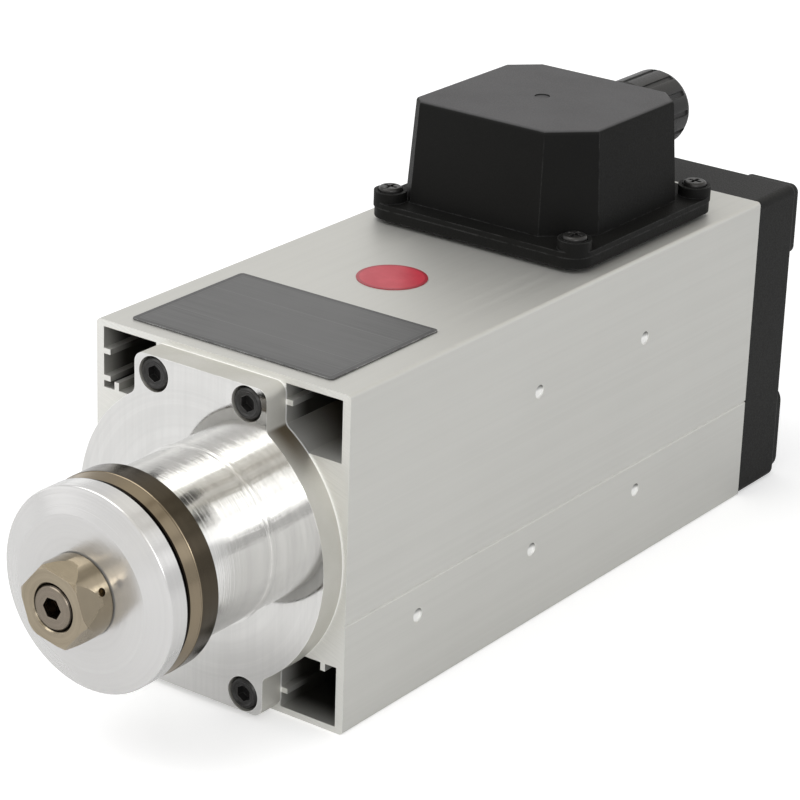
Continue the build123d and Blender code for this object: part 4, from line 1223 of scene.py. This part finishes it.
@dataclass
class BladeClamp:
    """Outer and inner clamp flanges and the clamp nut; stations run along the spindle from the blade seat."""

    radius: float = 27.0
    rear: float = -1.5
    rim_front: float = -7.3
    rim_chamfer: float = 0.3
    face: float = -9.9
    face_radius: float = 20.5
    register: float = 9.55
    register_floor: float = -6.2
    pilot: float = 11.0
    bore: float = 5.98
    relief_radius: float = 20.5
    relief: float = 0.4
    collar: Triple = (-5.8, 9.5, 0.4)
    seat_radii: Pair = (25.9, 26.9)
    groove: tuple[Pair, Pair] = ((3.55, 3.8), (4.05, 26.72))
    ring_back: Pair = (10.5, 0.5)
    hub: Triple = (15.7, 11.5, 7.53)
    nut_length: float = 10.0
    nut_radius: float = 10.9
    nut_chamfer: float = 0.3
    nut_bore: float = 5.95
    nut_entry: float = 0.7
    nut_nose: Pair = (0.58, 1.0)
    nut_flat: float = 9.35
    nut_run: float = 5.2
    nut_turn: float = -19.0
    nut_spare: float = 1.5
    pin_angle: float = 26.0
    pin_radius: float = 1.1
    pin_inset: float = 3.1
    pin_length: float = 4.4

    def build(self) -> None:
        """Turn both flanges and the nut."""
        disc = Bench.lathe("outer_flange_disc", [
            (self.rear, self.pilot), (self.rear - self.relief, self.pilot + self.relief),
            (self.rear - self.relief, self.relief_radius), (self.rear, self.relief_radius + self.relief),
            (self.rear, self.radius), (self.rim_front + self.rim_chamfer, self.radius),
            (self.rim_front, self.radius - self.rim_chamfer), (self.face, self.face_radius),
            (self.face, self.bore), (self.register_floor, self.bore),
            (self.register_floor, self.register), (self.rear, self.register),
        ])
        Bench.finish(disc, 0.12, 3, 16.0)
        Bench.enlist(disc, Slot.POLISHED, "outer_clamp_flange", Body.FLANGE)
        (front, collar, bevel), (back, ease), (end, hub, bore) = self.collar, self.ring_back, self.hub
        (seat, edge), ((cone, lip), (floor, neck)) = self.seat_radii, self.groove
        ring = Bench.lathe("inner_flange_ring", [
            (front, bore), (front, collar - bevel), (front + bevel, collar), (self.rear, collar),
            (self.rear, self.pilot), (self.relief, self.pilot), (self.relief, self.relief_radius),
            (0.0, self.relief_radius + self.relief), (0.0, seat), (cone, edge), (lip, neck),
            (floor, self.radius), (back - ease, self.radius), (back, self.radius - ease), (back, hub),
            (end, hub), (end, bore),
        ])
        Bench.finish(ring, 0.15, 3, 14.0)
        Bench.enlist(ring, Slot.BRONZED, "inner_clamp_flange", Body.ROTOR)
        nut = self.nut()
        Bench.finish(nut, 0.14, 3, 20.0)
        Bench.enlist(nut, Slot.NUT, "clamp_nut", Body.NUT)

    def nut(self) -> Piece:
        """Turn the round nut, mill six flats that run out towards its collar, and drill the pin hole.

        Returns:
            The nut.
        """
        front, (nose, drop) = self.face - self.nut_length, self.nut_nose
        nut = Bench.lathe("clamp_nut_hex", [
            (self.face, self.nut_bore), (self.face, self.nut_radius - self.nut_chamfer),
            (self.face - self.nut_chamfer, self.nut_radius), (front + nose, self.nut_radius),
            (front, self.nut_radius - drop), (front, self.nut_bore + self.nut_entry),
            (front + self.nut_entry, self.nut_bore),
        ], 144)
        slope = (self.nut_radius - self.nut_flat) / self.nut_run
        middle, half = self.face - self.nut_length / 2, self.nut_length / 2 + self.nut_spare
        rear, fore = ((self.nut_flat + slope * (middle + side * half - front)) / math.cos(math.pi / 6)
                      for side in (1, -1))
        Bench.clear()
        bpy.ops.mesh.primitive_cone_add(
            vertices=6, radius1=rear * MM, radius2=fore * MM, depth=2 * half * MM,
            rotation=(math.pi / 2, math.radians(self.nut_turn), 0.0), location=(0.0, middle * MM, 0.0))
        Bench.cut(nut, bpy.context.object, "INTERSECT")
        turn = math.radians(self.pin_angle)
        x, z = self.nut_radius * math.cos(turn), self.nut_radius * math.sin(turn)
        Bench.cut(nut, Bench.rod(32, self.pin_radius, self.pin_length, (x, self.face - self.pin_inset, z),
                                 (0.0, math.pi / 2 - turn, 0.0)))
        return nut


@dataclass
class SpindleShaft:
    """Shaft with its nose, socket and seats."""

    rounding: float = 0.12

    def build(self) -> None:
        """Copy the shaft and soften its edges."""
        Bench.carry("spindle_shaft", "shaft", Slot.GROUND, self.rounding, body=Body.ROTOR)


@dataclass
class TerminalBox:
    """Base, lid with its moulding mark, gasket and corner screws."""

    centre: Pair = (0.0, 186.2)
    lid_top: float = 81.5
    lid_rounding: float = 0.45
    mark_radius: float = 2.2
    mark_depth: float = 0.4
    mark_offset: float = -2.0
    mark_tool: float = 1.0
    screw_offset: float = 31.0
    screw_seat: float = 54.1
    screw_radius: float = 3.4
    screw_height: float = 2.2
    screw_rim: float = 0.9
    cross: Triple = (4.1, 0.9, 1.3)

    def build(self) -> None:
        """Sink the gate mark into the lid, and build the shell pieces and the screws."""
        lid = Bench.copy_of("terminal_box_lid", "box_lid")
        level = self.lid_top - self.mark_depth + self.mark_tool / 2
        place = (self.centre[0] + self.mark_offset, self.centre[1], level)
        Bench.cut(lid, Bench.rod(48, self.mark_radius, self.mark_tool, place))
        Bench.finish(lid, self.lid_rounding, 3)
        Bench.enlist(lid, Slot.BOX, "terminal_box_lid")
        Bench.carry("terminal_box_base", "box_base", Slot.BOX, 0.35)
        Bench.carry("box_gasket", "box_seal", Slot.RUBBER, 0.3)
        span = 2 * self.screw_offset
        Bench.four(self.screw(), (0.0, span, 0.0), (span, 0.0, 0.0), "lid_screws")

    def screw(self) -> Piece:
        """Model the rear right pan head with its cross recess.

        Returns:
            The screw head.
        """
        x, y = (part + self.screw_offset for part in self.centre)
        top = self.screw_seat + self.screw_height
        head = Bench.rod(48, self.screw_radius, self.screw_height, (x, y, top - self.screw_height / 2))
        head.name = head.data.name = "lid_screw_4"
        bpy.ops.object.transform_apply(location=True, rotation=True, scale=True)
        Bench.bevel_edges(head, self.screw_rim, 5,
                          lambda *ends: all(abs(end.z - top * MM) < Bench.close_weld * MM for end in ends))
        length, width, depth = self.cross
        for turn in (0.0, math.pi / 2):
            Bench.clear()
            bpy.ops.mesh.primitive_cube_add(size=1.0, location=(x * MM, y * MM, top * MM),
                                            rotation=(0.0, 0.0, turn))
            tool = bpy.context.object
            tool.scale = (length * MM, width * MM, 2 * depth * MM)
            bpy.ops.object.transform_apply(location=True, rotation=True, scale=True)
            Bench.cut(head, tool)
        Bench.finish(head, 0.1)
        return head


@dataclass
class CableGland:
    """Gland body, ribbed dome nut and rubber insert behind the lid."""

    centre: Pair = (2.0, 66.8)
    radius: float = 11.3
    ribs: int = 12
    rib_share: int = 6
    rib_width: float = 1.5
    rib_drop: float = 0.55
    rib_ends: Pair = (1.5, -2.9)
    skin: float = 0.4
    collar: Pair = (1.2, 1.8)
    dome: float = 3.0
    shoulder: float = 0.9
    lip: float = 1.5
    mouth: float = 6.0
    bores: Pair = (9.03, 7.23)
    step: float = 10.8

    def build(self) -> None:
        """Finish the body and insert, and turn the ribbed nut between the ends of its CAD node."""
        Bench.carry("gland_body", "gland_collar", Slot.GLAND, 0.3)
        Bench.carry("gland_seal", "gland_insert", Slot.RUBBER, 0.3)
        low, high = (corner[1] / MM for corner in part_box("gland_nut"))
        (flat, rise), (wide, narrow), foot = self.collar, self.bores, self.radius - self.rib_drop
        nut = Bench.lathe("gland_dome_nut", [
            (low, wide), (low, foot), (low + flat, foot), (low + rise, self.radius),
            (high - self.dome, self.radius), (high - self.shoulder, self.radius - self.shoulder),
            (high, self.radius - self.dome), (high, self.mouth), (high - self.lip, self.mouth),
            (high - self.lip, narrow), (low + self.step, narrow), (low + self.step, wide),
        ], self.ribs * self.rib_share * 2, self.centre)
        self.cut_ribs(nut, low + self.rib_ends[0], high + self.rib_ends[1])
        Bench.finish(nut, 0.22, angle=24.0)
        Bench.enlist(nut, Slot.GLAND, "gland_nut")

    def cut_ribs(self, nut: Piece, low: float, high: float) -> None:
        """Sink grooves between the grip ribs.

        Args:
            nut: The dome nut.
            low: First station of the grooves.
            high: Last station of the grooves.
        """
        pitch = 360 / self.ribs

        def grooved(face: bpy.types.MeshPolygon) -> bool:
            """Tell whether a face lies in a groove."""
            x, z = face.center.x - self.centre[0] * MM, face.center.z - self.centre[1] * MM
            if not low * MM < face.center.y < high * MM or math.hypot(x, z) <= (self.radius - self.skin) * MM:
                return False
            return math.degrees(math.atan2(z, x)) % pitch < pitch / self.rib_share * self.rib_width

        Bench.edit(nut, "FACE", grooved)
        bpy.ops.mesh.extrude_region()
        bpy.ops.transform.shrink_fatten(value=-self.rib_drop * MM)
        bpy.ops.object.mode_set(mode="OBJECT")


@dataclass
class FanCover:
    """Moulded cover with its grille and screws."""

    rounding: float = 0.5
    screw_rounding: float = 0.15

    def build(self) -> None:
        """Copy the cover and its screws and round their edges."""
        Bench.carry("fan_cover", "fan_cover_shell", Slot.COVER, self.rounding, 3)
        Bench.carry("fan_cover_screws", "cover_screws", Slot.BLACK_STEEL, self.screw_rounding)


@dataclass
class TopPlates:
    """Name plate and round sticker on the top deck."""

    plate_corner: float = 1.2

    def build(self) -> None:
        """Round the plate's corners and finish both."""
        plate = Bench.copy_of("name_plate", "dark_plate")
        Bench.bevel_edges(plate, self.plate_corner, 6,
                          lambda first, second: (first - second).xy.length < Bench.close_weld * MM)
        Bench.finish(plate, 0.12)
        Bench.enlist(plate, Slot.PLATE, "name_plate")
        Bench.carry("round_sticker", "red_sticker", Slot.STICKER, 0.1)


@dataclass
class InnerParts:
    """Stator, rotor, bearings and the rest inside, which keep their CAD shapes."""

    def build(self) -> None:
        """Dress every CAD node with the finish of its slot."""
        slots = {part["node"]: Slot(part["material_slot"]) for part in frame["record"]["subparts"]}
        for name, node in frame["nodes"].items():
            Bench.dress(node, slots[name])
        log.info("inner parts: %d nodes dressed", len(slots))


@dataclass
class Studio:
    """Camera, floor, world and lamps."""

    unit: float = 0.93e-3
    azimuth: float = 35.70
    elevation: float = 22.23
    roll: float = -1.93
    distance: float = 887.9
    aim: Triple = (0.0, 50.0, 0.0)
    shift: Pair = (20.03, -20.0)
    forward: float = 0.0427
    focal: float = 3102.0
    frame_width: float = 800.0
    sensor: float = 36.0
    floor_height: float = -0.0465
    floor_size: float = 8.0
    floor_tone: float = 0.86
    floor_glow: float = 0.42
    floor_mirror: float = 0.14
    fill: float = 0.62
    lamp_aim: Triple = (0.0, 0.12, 0.0)

    def build(self) -> None:
        """Set up the camera, the floor, the world and the lamps."""
        self.place_camera()
        self.lay_floor()
        self.light_world()
        self.hang_lamps()
        bpy.context.scene.view_settings.view_transform = "Standard"

    def place_camera(self) -> None:
        """Place the camera at the photograph's viewing angle."""
        turn, lift, roll = (math.radians(value) for value in (self.azimuth, self.elevation, self.roll))
        back = Vector((math.sin(turn) * math.cos(lift), -math.cos(turn) * math.cos(lift), math.sin(lift)))
        right = Vector((math.cos(turn), math.sin(turn), 0.0))
        down = (-back).cross(right)
        across = math.cos(roll) * right + math.sin(roll) * down
        fall = math.cos(roll) * down - math.sin(roll) * right
        place = Vector(self.aim) + back * self.distance + across * self.shift[0] + fall * self.shift[1]
        place = place * self.unit + Vector((0.0, self.forward, 0.0))
        lens = bpy.data.cameras.new("camera")
        lens.sensor_width = self.sensor
        lens.sensor_fit = "HORIZONTAL"
        lens.lens = self.focal / self.frame_width * self.sensor
        lens.clip_start, lens.clip_end = 0.01, 20.0
        camera = bpy.data.objects.new("camera", lens)
        bpy.context.scene.collection.objects.link(camera)
        rows = [(across[axis], -fall[axis], back[axis], place[axis]) for axis in range(3)]
        camera.matrix_world = Matrix((*rows, (0.0, 0.0, 0.0, 1.0)))
        bpy.context.scene.camera = camera

    def lay_floor(self) -> None:
        """Lay a pale floor that stays white where nothing shades it."""
        Bench.clear()
        bpy.ops.mesh.primitive_plane_add(size=self.floor_size, location=(0.0, 0.15, self.floor_height))
        floor = bpy.context.object
        floor.name = "floor"
        made = bpy.data.materials.new("pale floor")
        made.use_nodes = True
        graph = Graph(made.node_tree)
        made.node_tree.nodes.remove(made.node_tree.nodes["Principled BSDF"])
        path = graph.outputs(graph.node("LightPath"))
        shiny = graph.maths("MAXIMUM", path["Is Glossy Ray"], path["Is Transmission Ray"])
        strength = path["Is Camera Ray"] * self.floor_glow + shiny * self.floor_mirror
        paint = graph.add("BsdfDiffuse", {"Color": (self.floor_tone,) * 3})
        glow = graph.add("Emission", {"Color": (1.0, 1.0, 1.0), "Strength": strength})
        both = graph.add("AddShader", {0: paint, 1: glow})
        graph.feed(made.node_tree.nodes["Material Output"].inputs["Surface"], both)
        floor.data.materials.append(made)

    def light_world(self) -> None:
        """Light the scene evenly, with soft bright and dark bands for the metal to show."""
        world = bpy.data.worlds.new("studio")
        bpy.context.scene.world = world
        world.use_nodes = True
        graph = Graph(world.node_tree)
        x, _, z = graph.parts(graph.coordinates["Generated"])
        around = graph.maths("ARCTAN2", z, x) / math.pi
        bands = graph.node("ValToRGB")
        stops = [
            (0.0, (0.72, 0.72, 0.72)), (0.095, (0.8, 0.8, 0.8)), (0.125, (1.3, 1.3, 1.3)),
            (0.19, (1.3, 1.3, 1.3)), (0.235, (0.74, 0.73, 0.72)), (0.262, (1.15, 1.15, 1.14)),
            (0.345, (1.1, 1.09, 1.05)), (0.378, (0.5, 0.47, 0.41)), (0.405, (0.95, 0.93, 0.88)),
            (0.44, (0.95, 0.93, 0.88)), (0.464, (0.5, 0.46, 0.4)), (0.49, (1.05, 1.03, 0.97)),
            (0.62, (0.98, 0.96, 0.9)), (0.72, (0.84, 0.83, 0.82)), (0.86, (0.86, 0.86, 0.86)),
            (0.93, (1.25, 1.25, 1.25)),
        ]
        elements = bands.color_ramp.elements
        while len(elements) < len(stops):
            elements.new(1.0)
        for element, (place, colour) in zip(elements, stops):
            element.position, element.color = place, (*colour, 1.0)
        graph.feed(bands.inputs[0], around)
        path = graph.outputs(graph.node("LightPath"))
        level = graph.blend(path["Is Glossy Ray"], (self.fill,) * 3, graph.outputs(bands)["Color"])
        background = world.node_tree.nodes["Background"].inputs
        graph.feed(background["Color"], graph.blend(path["Is Camera Ray"], level, (1.0, 1.0, 1.0)))
        graph.feed(background["Strength"], 1.0)

    def hang_lamps(self) -> None:
        """Hang a soft key above the left front, a weaker one at the right and a small one for glints."""
        for name, place, size, power in (
            ("key", (-0.5, -0.5, 1.3), 1.2, 9.0),
            ("side", (0.95, -0.75, 0.65), 0.9, 3.0),
            ("glint", (0.92, -0.85, 0.5), 0.2, 0.9),
        ):
            lamp = bpy.data.lights.new(name, "AREA")
            lamp.size = size
            lamp.energy = power
            holder = bpy.data.objects.new(name, lamp)
            bpy.context.scene.collection.objects.link(holder)
            holder.location = place
            ray = Vector(self.lamp_aim) - Vector(place)
            holder.rotation_euler = ray.to_track_quat("-Z", "Y").to_euler()


def main() -> None:
    """Build the sub-assemblies in order, then the studio."""
    logging.basicConfig(level=logging.INFO, format="%(name)s %(message)s")
    for assembly in (InnerParts(), Housing(), FrontEndBell(), SpindleShaft(), BladeClamp(), TerminalBox(),
                     CableGland(), FanCover(), TopPlates(), Studio()):
        log.info("building %s", type(assembly).__name__)
        assembly.build()


if __name__ == "__main__":
    main()
